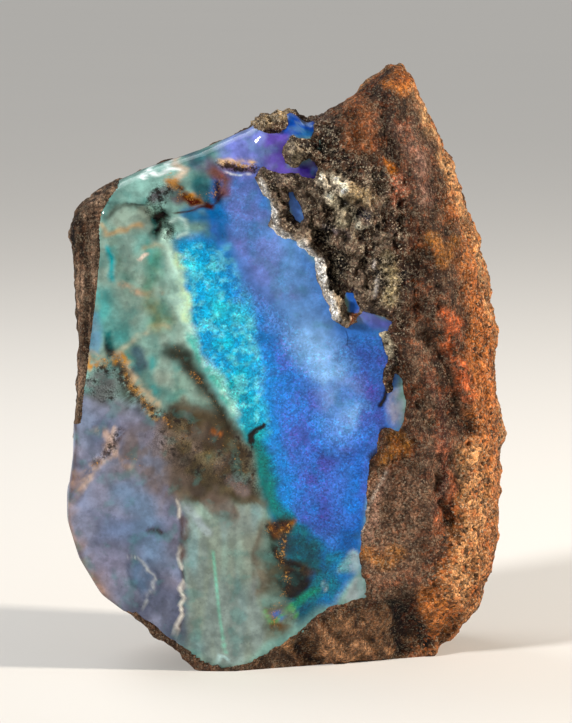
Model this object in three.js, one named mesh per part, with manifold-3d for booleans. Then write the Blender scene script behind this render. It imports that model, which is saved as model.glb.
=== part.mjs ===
// A hand specimen of boulder opal: an upright block of brown ironstone with a sandstone rind, ground and
// polished on one side to bare the seam of precious opal in it. Millimetres, +Z up. The polished face looks
// along -Y, and the block stands on the flat patch under it, at z = 0.
import * as THREE from "three";
import { mergeVertices } from "three/addons/utils/BufferGeometryUtils.js";
import Module from "manifold-3d";

// Driving dimensions
const HEIGHT = 144; // from the flat foot to the peak
const FACE_Y = -27; // the polished face
const BACK_Y = 27; // the rearmost skin
const SEAM_THICKNESS = 11; // how deep the opal goes behind that face
const SEAM_BACK = FACE_Y + SEAM_THICKNESS;
const SEAM_SWELL = 0.2; // how far the opal may swell past the face, under the crust
const FIT_GAP = 0.3; // between the opal and the stone round it
const LEDGE_HEIGHT = 2.6; // how far the rough crust stands above the opal
const PRISM_REACH = 40; // cutting outlines run this far in front of the face
const LUMP_HEIGHT = 0.8; // of the longest swell in the natural skin, behind
const FRONT_LUMP_SHARE = 0.35; // of that height, on the sides that the ribs shape
const LUMP_LENGTH = 46; // of that swell, crest to crest
const LUMP_WAVES = 5;
const SKIN_MARGIN = 4; // natural skin fades in over this distance from the polish
const BREAK_ROUNDING = 2.5; // the edges of flat breaks are worn round over this depth

// The mesh: steps round the block, and from the middle of the face to the girth and on to the middle behind
const STEPS_ROUND = 84;
const STEPS_FRONT = 23;
const STEPS_BACK = 13;

// Places on the front are noted by eye, as seen from before the face and a little above: how far across and
// how far down the view they are, in view points. The specimen is 613 of those points high.
const VIEW_TILT = THREE.MathUtils.degToRad(8);
const VIEW_DISTANCE = 700;
const VIEW_POINT = HEIGHT / 613;
const VIEW_MIDDLE = { across: 286, down: 361.5 };
const VIEW_AIM = new THREE.Vector3(0.35, FACE_Y, 74.7); // what the view's middle shows

/** The x and z of a place of the view that lies at the depth y. */
function placeSeen([across, down], y = FACE_Y) {
  const forward = new THREE.Vector3(0, Math.cos(VIEW_TILT), -Math.sin(VIEW_TILT));
  const up = new THREE.Vector3(0, Math.sin(VIEW_TILT), Math.cos(VIEW_TILT));
  const eye = VIEW_AIM.clone().addScaledVector(forward, -VIEW_DISTANCE);
  const ray = forward.clone().multiplyScalar(VIEW_DISTANCE);
  ray.x += (across - VIEW_MIDDLE.across) * VIEW_POINT;
  ray.addScaledVector(up, (VIEW_MIDDLE.down - down) * VIEW_POINT);
  const reach = (y - eye.y) / ray.y;
  return [eye.x + reach * ray.x, eye.z + reach * ray.z];
}

/** An outline or a line on the face, from places of the view. */
const lineSeen = (places) => places.map((place) => placeSeen(place));

// The block's axis starts at this point of the face, and its ribs are measured from there
const AXIS = { x: 12, z: 79.5 };

// The back's own axis and the worn oval that the ribs die away into, behind
const BACK_AXIS = { x: 0, z: 63 };
const OVAL = { x: 47, z: 67, fullness: 2.8 };

// Ribs round the girth, anticlockwise from the peak, seen from the front. Each is how far across and down the
// view the girth is, its y, and how full the front and the back are: 2 is an ellipse, and 10 a nearly square
// edge. Those under the foot end below the ground, where the foot is flat.
const RIBS_SEEN = [
  [400, 60, -4, 3.5, 2.6],
  [386, 61, -4, 3.5, 2.6],
  [372, 73, -6, 4, 2.6],
  [352, 95, -9, 5, 2.6],
  [322, 116, -12, 6, 2.6],
  [306, 122, -14, 6, 2.8],
  [292, 111, -15, 6, 2.8],
  [264, 116, -16, 6, 2.8],
  [250, 127, -16, 5, 2.8],
  [200, 149, -14, 5, 3],
  [150, 165, -13, 5.5, 3],
  [110, 183, -12, 7, 3],
  [88, 198, -10, 8, 3],
  [75, 218, -7, 8.5, 3],
  [76, 260, -6, 9, 3],
  [79, 330, -7, 10, 3],
  [77, 400, -10, 12, 3.2],
  [75, 450, -16, 12, 3.4],
  [69, 490, -20, 10, 3.6],
  [69, 520, -21, 10, 3.6],
  [80, 555, -21, 10, 3.6],
  [102, 591, -21, 10, 3.8],
  [130, 612, -21, 10, 4],
  [158, 636, -21, 10, 4.5],
  [190, 660, -22, 10, 5],
  [203, 678, -23, 10, 6],
  [226, 685, -23, 10, 6],
  [262, 682, -20, 9, 6],
  [345, 671, -9, 6, 5],
  [405, 666, -6, 5, 4.5],
  [427, 649, -2, 4, 4],
  [456, 628, 2, 3.4, 3.4],
  [479, 600, 2, 3.2, 3],
  [493, 563, 2, 3.2, 2.8],
  [496, 500, 2, 3.2, 2.8],
  [500, 430, 2, 3.2, 2.8],
  [499, 370, 2, 3.2, 2.8],
  [494, 320, 2, 3.2, 2.8],
  [482, 262, 2, 3.4, 2.8],
  [468, 215, 1, 3.4, 2.7],
  [449, 150, 0, 3.5, 2.6],
  [429, 110, -2, 3.5, 2.6],
  [411, 72, -3, 3.5, 2.6],
];
const RIBS = RIBS_SEEN.map(([across, down, y, front, back]) => {
  const [x, z] = placeSeen([across, down], y);
  return [x, z, y, front, back];
});

// The bared opal's edge on the face, clockwise from the top. Its left side runs on past the stone, because
// the opal reaches the block's own edge there.
const BARED_TOP = lineSeen([
  [250, 100], [250, 127], [257, 131], [268, 134], [276, 135], [287, 129], [289, 100], [312, 100], [314, 130],
  [309, 138], [290, 137], [285, 146], [282, 155], [284, 163], [292, 166], [300, 164], [308, 160], [315, 161],
  [319, 170], [314, 180], [303, 177], [296, 171], [288, 174], [280, 173], [262, 166],
]);
const BARED_RIGHT = lineSeen([
  [256, 178], [263, 195], [271, 202], [272, 217], [269, 226], [275, 234], [289, 238], [300, 245], [314, 258],
  [318, 280], [326, 303], [336, 321], [346, 327], [357, 321], [361, 311], [373, 313], [386, 317], [392, 323],
  [389, 332], [378, 333], [383, 346], [388, 360], [383, 370], [382, 381], [387, 395], [393, 386], [397, 372],
  [403, 380], [405, 400], [405, 420], [398, 431], [388, 428], [380, 431],
]);
const BARED_LOW = lineSeen([
  [376, 455], [369, 463], [367, 480], [366, 508], [362, 530], [360, 556], [363, 578], [367, 599], [354, 601],
  [333, 605], [318, 615], [300, 630], [285, 643], [262, 655], [245, 663], [226, 669], [210, 664], [195, 656],
  [178, 644], [160, 632], [146, 622], [135, 613], [116, 612],
]);
const BARED_LEFT = lineSeen([
  [48, 560], [44, 500], [51, 430], [80, 426], [82, 405], [86, 375], [90, 340], [94, 310], [97, 285],
  [100, 250], [99, 228], [102, 211], [110, 198], [118, 188], [113, 156], [180, 126], [230, 100],
]);
const BARED = [...BARED_TOP, ...BARED_RIGHT, ...BARED_LOW, ...BARED_LEFT];

// The seam's own edge. On the upper right it runs on under the crust, out of sight.
const SEAM_TOP = [...BARED_TOP.slice(0, 9), ...lineSeen([[320, 143], [322, 173]])];
const SEAM_UNDER_CRUST = lineSeen([
  [322, 205], [337, 235], [350, 262], [362, 285], [378, 300], [402, 314], [413, 352], [415, 400], [413, 429],
  [401, 442], [385, 444],
]);
const SEAM = [...SEAM_TOP, ...SEAM_UNDER_CRUST, ...BARED_LOW, ...BARED_LEFT];

// Holes in the crust that show the seam behind
const CRUST_WINDOWS = [
  lineSeen([[288, 194], [294, 192], [300, 204], [304, 217], [301, 223], [294, 220], [288, 210]]),
  lineSeen([[345, 294], [353, 295], [359, 307], [359, 314], [352, 314], [345, 305]]),
];

// Swellings and hollows of the rough front: a line of x, z points, a half width, and a height, below 0 in a
// hollow
const FRONT_SWELLS = [
  { line: [[-3, 112], [-1.5, 105], [5, 101.5], [9, 96], [12, 88], [15, 84.5]], width: 2.6, height: 1.0 },
  { line: [[8, 104], [11, 98], [13.5, 93]], width: 2.8, height: -1.0 },
  { line: [[8.5, 112], [14, 113.5], [19, 109]], width: 4.5, height: 1.3 },
  { line: [[-4, 130], [0, 131]], width: 3, height: 1.4 },
  { line: [[2.5, 124.2], [5, 124]], width: 2.6, height: 1.2 },
  { line: [[5.5, 133], [9, 127.5]], width: 4, height: -2.4 },
  { line: [[20, 100], [22, 92], [26, 88]], width: 3.2, height: 1.1 },
  { line: [[31, 118], [37, 96], [41, 78], [42.5, 66]], width: 4, height: 1.2 },
  { line: [[40, 62], [44.5, 56]], width: 3.4, height: -2.2 },
  { line: [[33, 54], [32, 45], [35.5, 37]], width: 3.2, height: 1.3 },
  { line: [[39, 52], [36.5, 44], [38.5, 34]], width: 2.4, height: -1.8 },
  { line: [[25.5, 44], [26, 34], [26, 24]], width: 6, height: -1.3 },
  { line: [[26, 17.5], [32, 17], [37, 20]], width: 2.6, height: 1.0 },
  { line: [[30, 10], [32, 5]], width: 3, height: -1.3 },
];

// Flat breaks: the stone is cut back to these planes. Each goes through three points.
const [UNDERCUT_LEFT, UNDERCUT_RIGHT] = lineSeen([[245, 663], [369, 599]]);
const UNDERCUT = [
  [UNDERCUT_LEFT[0], FACE_Y, UNDERCUT_LEFT[1]],
  [UNDERCUT_RIGHT[0], FACE_Y, UNDERCUT_RIGHT[1]],
  [27, -14, 0],
];
const BACK_BREAKS = [
  [[-50, 8, 40], [-22, 27, 60], [-40, 8, 112]],
  [[-10, 24, 118], [16, 26, 104], [20, 2, 143]],
  [[-30, 22, 20], [20, 25, 16], [0, 13, 0]],
  [[36, 23, 70], [32, 24, 20], [51, 8, 45]],
];

/** The height y of the plane through three points, above the place x, z. */
function planeY([a, b, c], x, z) {
  const [p, q, r] = [a, b, c].map((point) => new THREE.Vector3(...point));
  const normal = new THREE.Vector3().crossVectors(q.sub(p), r.clone().sub(p));
  return p.y - (normal.x * (x - p.x) + normal.z * (z - p.z)) / normal.y;
}

/** A ramp from 0 to 1 between two values, smooth at both ends. */
const smooth = (value, from, to) => THREE.MathUtils.smoothstep(value, from, to);

/** The distance from x, z to the line between two points. */
function distanceToSegment(x, z, [ax, az], [bx, bz]) {
  const [dx, dz] = [bx - ax, bz - az];
  const along = THREE.MathUtils.clamp(((x - ax) * dx + (z - az) * dz) / (dx * dx + dz * dz), 0, 1);
  return Math.hypot(x - ax - along * dx, z - az - along * dz);
}

/** The distance from x, z to the edge of an outline, less than 0 inside it. */
function distanceOutside(outline, x, z) {
  let inside = false;
  let nearest = Infinity;
  outline.forEach((a, i) => {
    const b = outline[(i + 1) % outline.length];
    nearest = Math.min(nearest, distanceToSegment(x, z, a, b));
    const crosses = a[1] > z !== b[1] > z && x < a[0] + ((z - a[1]) * (b[0] - a[0])) / (b[1] - a[1]);
    if (crosses) inside = !inside;
  });
  return inside ? -nearest : nearest;
}

/** The rib in a direction seen from the front: its reach from the axis, its girth's y and its fullnesses. */
function ribAt(angle) {
  const [dx, dz] = [Math.cos(angle), Math.sin(angle)];
  for (let i = 0; i < RIBS.length; i += 1) {
    const a = RIBS[i];
    const b = RIBS[(i + 1) % RIBS.length];
    const [ax, az] = [a[0] - AXIS.x, a[1] - AXIS.z];
    const [bx, bz] = [b[0] - AXIS.x, b[1] - AXIS.z];
    const share = -(ax * dz - az * dx) / ((bx - ax) * dz - (bz - az) * dx);
    const reach = (ax + share * (bx - ax)) * dx + (az + share * (bz - az)) * dz;
    if (share >= 0 && share <= 1 && reach > 0) {
      const [y, front, back] = [2, 3, 4].map((k) => a[k] + share * (b[k] - a[k]));
      return { reach, y, front, back };
    }
  }
  throw new Error("the ribs don't go all the way round");
}

/** The reach of the worn oval in a direction. */
const ovalReach = (angle) => 1 / Math.hypot(Math.cos(angle) / OVAL.x, Math.sin(angle) / OVAL.z);

/** The lower of two heights, with the corner between them rounded. */
function softMin(a, b, rounding) {
  const blend = THREE.MathUtils.clamp(0.5 + (0.5 * (b - a)) / rounding, 0, 1);
  return b + blend * (a - b) - rounding * blend * (1 - blend);
}

/** Long swells of a weathered skin: sines of shortening length, in directions spread evenly over a sphere. */
function lumps(x, y, z) {
  let sum = 0;
  for (let i = 0; i < LUMP_WAVES; i += 1) {
    const length = LUMP_LENGTH * 0.8 ** i;
    const up = 1 - (2 * i + 1) / LUMP_WAVES;
    const round = 2.4 * i;
    const level = Math.sqrt(1 - up * up);
    const along = x * level * Math.cos(round) + y * level * Math.sin(round) + z * up;
    sum += 0.84 ** i * Math.sin((2 * Math.PI * along) / length + 1.7 * i);
  }
  return LUMP_HEIGHT * sum;
}

/** How far the rough front stands out at x, z, from its swellings and hollows. */
function frontSwell(x, z) {
  return FRONT_SWELLS.reduce((sum, { line, width, height }) => {
    const nearest = Math.min(...line.slice(1).map((b, i) => distanceToSegment(x, z, line[i], b)));
    return sum + height * Math.exp(-((nearest / width) ** 2));
  }, 0);
}

/** The crust's height over the opal's face. It dies out towards the foot. */
const crustHeight = (x, z) => LEDGE_HEIGHT * smooth(z, 46, 62) * smooth(x, -14, -6);

/** A point of the stone's skin. Path runs from 0 in the middle of the face, through 1 at the girth, to 2. */
function skinPoint(angle, path, withCrust) {
  const rib = ribAt(angle);
  const front = path <= 1;
  const worn = smooth(path, 1, 1.5);
  const reach = THREE.MathUtils.lerp(rib.reach, ovalReach(angle), worn);
  const depth = front ? rib.y - FACE_Y : BACK_Y - rib.y;
  const fullness = front ? rib.front : THREE.MathUtils.lerp(rib.back, OVAL.fullness, worn);
  const travel = (front ? path : 2 - path) * (reach + depth);
  const out = Math.min(travel / reach, 1);
  const forward = travel < reach ? 1 : Math.max(0, 1 - (travel - reach) / depth);
  const scale = (out ** fullness + forward ** fullness) ** (-1 / fullness);
  let x = THREE.MathUtils.lerp(AXIS.x, BACK_AXIS.x, worn) + Math.cos(angle) * reach * out * scale;
  let z = THREE.MathUtils.lerp(AXIS.z, BACK_AXIS.z, worn) + Math.sin(angle) * reach * out * scale;
  let y = rib.y + (front ? -1 : 1) * depth * forward * scale;

  const rough = front
    ? FRONT_LUMP_SHARE * smooth(distanceOutside(BARED, x, z), 0, SKIN_MARGIN)
    : THREE.MathUtils.lerp(FRONT_LUMP_SHARE, 1, smooth(path, 1, 1.3));
  const swell = rough * lumps(x, y, z);
  const outward = new THREE.Vector3((x - AXIS.x) / 50, (y - rib.y) / 30, (z - AXIS.z) / 70).normalize();
  x += outward.x * swell;
  y += outward.y * swell;
  z = Math.max(0, z + outward.z * swell);
  if (front) {
    const facing = (forward * scale) ** 2;
    y -= facing * frontSwell(x, z) * smooth(distanceOutside(BARED, x, z), -1, 1.5);
    if (withCrust) y -= facing * crustHeight(x, z);
    y = Math.max(y, planeY(UNDERCUT, x, z));
  } else {
    const broken = BACK_BREAKS.reduce((low, plane) => softMin(low, planeY(plane, x, z), BREAK_ROUNDING), y);
    y = THREE.MathUtils.lerp(y, Math.max(broken, rib.y), smooth(path, 1, 1.15));
  }
  return [x, y, z];
}

/** The stone's whole skin as a closed geometry: rings round the axis, with a point at each end. */
function skinGeometry(withCrust) {
  const rings = STEPS_FRONT + STEPS_BACK;
  const points = [skinPoint(0, 0, withCrust)];
  for (let ring = 1; ring < rings; ring += 1) {
    const path = ring <= STEPS_FRONT ? ring / STEPS_FRONT : 1 + (ring - STEPS_FRONT) / STEPS_BACK;
    for (let step = 0; step < STEPS_ROUND; step += 1) {
      points.push(skinPoint((2 * Math.PI * step) / STEPS_ROUND, path, withCrust));
    }
  }
  points.push(skinPoint(0, 2, withCrust));
  const at = (ring, step) => 1 + (ring - 1) * STEPS_ROUND + (step % STEPS_ROUND);
  const faces = [];
  for (let step = 0; step < STEPS_ROUND; step += 1) {
    faces.push(0, at(1, step), at(1, step + 1));
    for (let ring = 1; ring < rings - 1; ring += 1) {
      faces.push(at(ring, step), at(ring + 1, step), at(ring + 1, step + 1));
      faces.push(at(ring, step), at(ring + 1, step + 1), at(ring, step + 1));
    }
    faces.push(at(rings - 1, step), points.length - 1, at(rings - 1, step + 1));
  }
  const geometry = new THREE.BufferGeometry();
  geometry.setAttribute("position", new THREE.Float32BufferAttribute(points.flat(), 3));
  return geometry.setIndex(faces);
}

/** A prism over an outline drawn in x and z, from a depth to PRISM_REACH in front of the face. */
function prismGeometry(outline, backY, frontY = FACE_Y - PRISM_REACH) {
  const shape = new THREE.Shape(outline.map(([x, z]) => new THREE.Vector2(x, z)));
  const geometry = new THREE.ExtrudeGeometry(shape, { depth: backY - frontY, bevelEnabled: false });
  return geometry.rotateX(Math.PI / 2).translate(0, backY, 0);
}

/** An outline moved outwards by a distance, corner by corner. The outline runs clockwise. */
function widened(outline, distance) {
  return outline.map((corner, i) => {
    const before = outline[(i + outline.length - 1) % outline.length];
    const after = outline[(i + 1) % outline.length];
    const along = new THREE.Vector2(after[0] - before[0], after[1] - before[1]).normalize();
    return [corner[0] - along.y * distance, corner[1] + along.x * distance];
  });
}

const wasm = await Module();
wasm.setup();

/** A closed geometry as a solid that can be joined and cut. */
function solidOf(geometry) {
  const bare = new THREE.BufferGeometry().setAttribute("position", geometry.getAttribute("position"));
  bare.setIndex(geometry.index);
  const merged = mergeVertices(bare, 1e-4);
  return new wasm.Manifold(
    new wasm.Mesh({
      numProp: 3,
      vertProperties: new Float32Array(merged.attributes.position.array),
      triVerts: new Uint32Array(merged.index.array),
    }),
  );
}

/** The largest separate body of a solid, without the crumbs that a cut can leave. */
const largestBody = (solid) => solid.decompose().reduce((a, b) => (a.volume() > b.volume() ? a : b));

/** A solid as a named mesh. */
function meshOf(name, solid, material) {
  const { numProp, vertProperties, triVerts } = solid.getMesh();
  const positions = [];
  for (let i = 0; i < vertProperties.length; i += numProp) {
    positions.push(...vertProperties.subarray(i, i + 3));
  }
  const geometry = new THREE.BufferGeometry();
  geometry.setAttribute("position", new THREE.Float32BufferAttribute(positions, 3));
  geometry.setIndex([...triVerts]);
  geometry.computeVertexNormals();
  const mesh = new THREE.Mesh(geometry, material);
  mesh.name = name;
  return mesh;
}

/** The block with its crust, before the opal's bed is cut in it. */
function wholeStone() {
  const block = solidOf(skinGeometry(false));
  const cuts = [BARED, ...CRUST_WINDOWS].map((outline) => solidOf(prismGeometry(outline, SEAM_BACK)));
  const crust = cuts.reduce((rest, cut) => rest.subtract(cut), solidOf(skinGeometry(true)));
  return { block, withCrust: block.add(crust) };
}

const ironstone = new THREE.MeshStandardMaterial({ color: "#6e4f38", roughness: 0.9, metalness: 0 });
const preciousOpal = new THREE.MeshStandardMaterial({ color: "#3f7fc4", roughness: 0.15, metalness: 0 });

const { block, withCrust } = wholeStone();
const { min, max } = withCrust.boundingBox();

// The middle of the stone stands over x = y = 0
const toOrigin = [-(min[0] + max[0]) / 2, -(min[1] + max[1]) / 2, 0];
const seam = solidOf(prismGeometry(SEAM, SEAM_BACK, FACE_Y - SEAM_SWELL));
const bedFront = FACE_Y - SEAM_SWELL - FIT_GAP;
const bed = solidOf(prismGeometry(widened(SEAM, FIT_GAP), SEAM_BACK + FIT_GAP, bedFront));

const specimen = new THREE.Group();
specimen.name = "boulder_opal";
specimen.add(
  meshOf("ironstone_boulder", largestBody(withCrust.subtract(bed)).translate(toOrigin), ironstone),
  meshOf("opal_seam", largestBody(block.intersect(seam)).translate(toOrigin), preciousOpal),
);

export default specimen;
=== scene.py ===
"""Looks of a boulder opal specimen: a polished seam of precious opal in a rough block of ironstone.

Shapes are worked out in the block's own millimetres, with x to the right, z up and the polished face
looking along -y. They go into the frame's metres when a mesh is made. Places on the front are noted
as seen from before the face and a little above: how far across and how far down the view they are,
in view points. The specimen is 613 of those points high. Colours are red, green and blue up to 255.
"""

import logging
import math
from collections.abc import Iterator
from dataclasses import dataclass
from enum import Enum
from itertools import product

import bpy
import numpy as np
from bpy.types import Material, Node, NodeSocket, NodeTree, Object
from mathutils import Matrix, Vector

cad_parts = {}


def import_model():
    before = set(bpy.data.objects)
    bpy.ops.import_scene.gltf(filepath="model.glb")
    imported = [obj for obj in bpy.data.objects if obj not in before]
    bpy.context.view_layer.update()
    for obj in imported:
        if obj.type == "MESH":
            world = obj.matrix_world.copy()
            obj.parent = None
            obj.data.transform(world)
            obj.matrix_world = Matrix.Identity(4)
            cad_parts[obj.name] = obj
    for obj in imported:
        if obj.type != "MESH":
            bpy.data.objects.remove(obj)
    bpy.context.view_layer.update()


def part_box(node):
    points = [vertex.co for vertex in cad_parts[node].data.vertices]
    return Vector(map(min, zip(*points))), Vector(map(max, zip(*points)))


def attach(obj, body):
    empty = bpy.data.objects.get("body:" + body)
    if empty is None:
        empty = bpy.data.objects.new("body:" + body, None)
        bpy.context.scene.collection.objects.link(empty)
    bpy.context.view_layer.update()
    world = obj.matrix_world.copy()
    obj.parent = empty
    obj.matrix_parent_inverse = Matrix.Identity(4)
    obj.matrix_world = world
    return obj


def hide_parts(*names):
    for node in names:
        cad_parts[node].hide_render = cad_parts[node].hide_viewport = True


LOG = logging.getLogger("boulder_opal")
Array = np.ndarray
Point = tuple[float, float]
Line = tuple[Point, ...]
Triple = tuple[float, float, float]

METRE = 1000.0  # millimetres
TURN = 2 * math.pi

# The block, as in the solids
HEIGHT = 144.0  # from the flat foot to the peak
FACE_Y = -27.0  # the polished face
BACK_Y = 27.0  # the rearmost skin
SEAM_BACK = -16.0  # how far back the opal goes
LEDGE_HEIGHT = 2.6  # how far the rough crust stands above the opal
LUMP_HEIGHT, LUMP_LENGTH, LUMP_WAVES = 0.8, 46.0, 5  # the skin's long swells
FRONT_LUMP_SHARE = 0.35  # how much of them the front has
SKIN_MARGIN = 4.0  # over what distance they rise beside the opal
BREAK_ROUNDING = 2.5
AXIS_X, AXIS_Z = 12.0, 79.5  # the ribs stand round this
BACK_AXIS_X, BACK_AXIS_Z = 0.0, 63.0  # and come together here in the back
OVAL_X, OVAL_Z, OVAL_FULLNESS = 47.0, 67.0, 2.8  # the worn back's half width, half height and fullness
BLOCK_MIDDLE = (0.0, 2.0, 66.0)

# The view that places on the front are noted in
VIEW_TILT = math.radians(8)
VIEW_DISTANCE = 700.0
VIEW_POINT = HEIGHT / 613
VIEW_ACROSS, VIEW_DOWN = 286.0, 361.5  # its middle
VIEW_AIM = np.array((0.35, FACE_Y, 74.7))  # what its middle shows
FORWARD = np.array((0.0, math.cos(VIEW_TILT), -math.sin(VIEW_TILT)))
UP = np.array((0.0, math.sin(VIEW_TILT), math.cos(VIEW_TILT)))
EYE = VIEW_AIM - VIEW_DISTANCE * FORWARD


def place_seen(across: float, down: float, y: float = FACE_Y) -> Point:
    """The x and z of a place of the view that lies at the depth y: the eye plus reach times the ray.

    Args:
        across: How far across the view it is.
        down: How far down the view.
        y: Its depth in mm.

    Returns:
        x and z in mm.
    """
    ray = VIEW_DISTANCE * FORWARD + (VIEW_DOWN - down) * VIEW_POINT * UP
    reach = (y - EYE[1]) / ray[1]
    return EYE[0] + reach * (across - VIEW_ACROSS) * VIEW_POINT, EYE[2] + reach * ray[2]


def line_seen(places: Line) -> Line:
    """An outline or a line on the face, from places of the view."""
    return tuple(place_seen(*place) for place in places)


def seen(points: Array) -> tuple[Array, Array]:
    """How far across and down the view each place in mm is: its offsets over its distance, scaled.

    Args:
        points: Places in mm.

    Returns:
        How far across and how far down, in view points.
    """
    way = points - EYE
    size = VIEW_DISTANCE / VIEW_POINT / (way @ FORWARD)
    return VIEW_ACROSS + way[..., 0] * size, VIEW_DOWN - (way @ UP) * size


# Ribs round the girth, anticlockwise from the peak: how far across and down the view the girth is, its y
# in mm, and how full the front and the back are
RIBS_SEEN = (
    (400, 60, -4, 3.5, 2.6), (386, 61, -4, 3.5, 2.6), (372, 73, -6, 4, 2.6), (352, 95, -9, 5, 2.6),
    (322, 116, -12, 6, 2.6), (306, 122, -14, 6, 2.8), (292, 111, -15, 6, 2.8), (264, 116, -16, 6, 2.8),
    (250, 127, -16, 5, 2.8), (200, 149, -14, 5, 3), (150, 165, -13, 5.5, 3), (110, 183, -12, 7, 3),
    (88, 198, -10, 8, 3), (75, 218, -7, 8.5, 3), (76, 260, -6, 9, 3), (79, 330, -7, 10, 3),
    (77, 400, -10, 12, 3.2), (75, 450, -16, 12, 3.4), (69, 490, -20, 10, 3.6), (69, 520, -21, 10, 3.6),
    (80, 555, -21, 10, 3.6), (102, 591, -21, 10, 3.8), (130, 612, -21, 10, 4), (158, 636, -21, 10, 4.5),
    (190, 660, -22, 10, 5), (203, 678, -23, 10, 6), (226, 685, -23, 10, 6), (262, 682, -20, 9, 6),
    (345, 671, -9, 6, 5), (405, 666, -6, 5, 4.5), (427, 649, -2, 4, 4), (456, 628, 2, 3.4, 3.4),
    (479, 600, 2, 3.2, 3), (493, 563, 2, 3.2, 2.8), (496, 500, 2, 3.2, 2.8), (500, 430, 2, 3.2, 2.8),
    (499, 370, 2, 3.2, 2.8), (494, 320, 2, 3.2, 2.8), (482, 262, 2, 3.4, 2.8), (468, 215, 1, 3.4, 2.7),
    (449, 150, 0, 3.5, 2.6), (429, 110, -2, 3.5, 2.6), (411, 72, -3, 3.5, 2.6),
)
RIBS = np.array([(*place_seen(across, down, y), y, *fullness) for across, down, y, *fullness in RIBS_SEEN])

# The bared opal's edge on the face, clockwise from the top
BARED_TOP = line_seen((
    (250, 100), (250, 127), (257, 131), (268, 134), (276, 135), (287, 129), (289, 100), (312, 100),
    (314, 130), (309, 138), (290, 137), (285, 146), (282, 155), (284, 163), (292, 166), (300, 164),
    (308, 160), (315, 161), (319, 170), (314, 180), (303, 177), (296, 171), (288, 174), (280, 173),
    (262, 166),
))
BARED_RIGHT = line_seen((
    (256, 178), (263, 195), (271, 202), (272, 217), (269, 226), (275, 234), (289, 238), (300, 245),
    (314, 258), (318, 280), (326, 303), (336, 321), (346, 327), (357, 321), (361, 311), (373, 313),
    (386, 317), (392, 323), (389, 332), (378, 333), (383, 346), (388, 360), (383, 370), (382, 381),
    (387, 395), (393, 386), (397, 372), (403, 380), (405, 400), (405, 420), (398, 431), (388, 428),
    (380, 431),
))
BARED_LOW = line_seen((
    (376, 455), (369, 463), (367, 480), (366, 508), (362, 530), (360, 556), (363, 578), (367, 599),
    (354, 601), (333, 605), (318, 615), (300, 630), (285, 643), (262, 655), (245, 663), (226, 669),
    (210, 664), (195, 656), (178, 644), (160, 632), (146, 622), (135, 613), (116, 612),
))
BARED_LEFT = line_seen((
    (48, 560), (44, 500), (51, 430), (80, 426), (82, 405), (86, 375), (90, 340), (94, 310), (97, 285),
    (100, 250), (99, 228), (102, 211), (110, 198), (118, 188), (113, 156), (180, 126), (230, 100),
))
BARED = (*BARED_TOP, *BARED_RIGHT, *BARED_LOW, *BARED_LEFT)

# The opal's edge, which runs on under the crust on the upper right
SEAM_UNDER_CRUST = line_seen((
    (320, 143), (322, 173), (322, 205), (337, 235), (350, 262), (362, 285), (378, 300), (402, 314),
    (413, 352), (415, 400), (413, 429), (401, 442), (385, 444),
))
SEAM = (*BARED_TOP[:9], *SEAM_UNDER_CRUST, *BARED_LOW, *BARED_LEFT)

# Holes in the crust that show the seam behind
CRUST_WINDOWS = (
    line_seen(((288, 194), (294, 192), (300, 204), (304, 217), (301, 223), (294, 220), (288, 210))),
    line_seen(((345, 294), (353, 295), (359, 307), (359, 314), (352, 314), (345, 305))),
)

# Swellings and hollows of the rough front: a line of x and z, a half width and a height, in mm
FRONT_SWELLS = (
    (((-3, 112), (-1.5, 105), (5, 101.5), (9, 96), (12, 88), (15, 84.5)), 2.6, 1.0),
    (((8, 104), (11, 98), (13.5, 93)), 2.8, -1.0),
    (((8.5, 112), (14, 113.5), (19, 109)), 4.5, 1.3),
    (((-4, 130), (0, 131)), 3, 1.4),
    (((2.5, 124.2), (5, 124)), 2.6, 1.2),
    (((5.5, 133), (9, 127.5)), 4, -2.4),
    (((20, 100), (22, 92), (26, 88)), 3.2, 1.1),
    (((31, 118), (37, 96), (41, 78), (42.5, 66)), 4, 1.2),
    (((40, 62), (44.5, 56)), 3.4, -2.2),
    (((33, 54), (32, 45), (35.5, 37)), 3.2, 1.3),
    (((39, 52), (36.5, 44), (38.5, 34)), 2.4, -1.8),
    (((25.5, 44), (26, 34), (26, 24)), 6, -1.3),
    (((26, 17.5), (32, 17), (37, 20)), 2.6, 1.0),
    (((30, 10), (32, 5)), 3, -1.3),
)

# Flat breaks, each a plane through three points
UNDERCUT_LEFT, UNDERCUT_RIGHT = line_seen(((245, 663), (369, 599)))
UNDERCUT = (
    (UNDERCUT_LEFT[0], FACE_Y, UNDERCUT_LEFT[1]),
    (UNDERCUT_RIGHT[0], FACE_Y, UNDERCUT_RIGHT[1]),
    (27, -14, 0),
)
BACK_BREAKS = (
    ((-50, 8, 40), (-22, 27, 60), (-40, 8, 112)),
    ((-10, 24, 118), (16, 26, 104), (20, 2, 143)),
    ((-30, 22, 20), (20, 25, 16), (0, 13, 0)),
    ((36, 23, 70), (32, 24, 20), (51, 8, 45)),
)


def ramp(value: Array, low: float, high: float) -> Array:
    """A ramp from 0 at low to 1 at high, smooth at both ends: 3t^2 - 2t^3."""
    t = np.clip((value - low) / (high - low), 0.0, 1.0)
    return t * t * (3.0 - 2.0 * t)


def blend(a: Array, b: Array, share: Array) -> Array:
    """a where share is 0 and b where it is 1."""
    return a + (b - a) * share


def linear(colour: Triple) -> Array:
    """Linear light from red, green and blue up to 255: ((c + 0.055) / 1.055)^2.4, or c / 12.92 if dark."""
    c = np.array(colour) / 255.0
    return np.where(c > 0.04045, ((c + 0.055) / 1.055) ** 2.4, c / 12.92)


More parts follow.
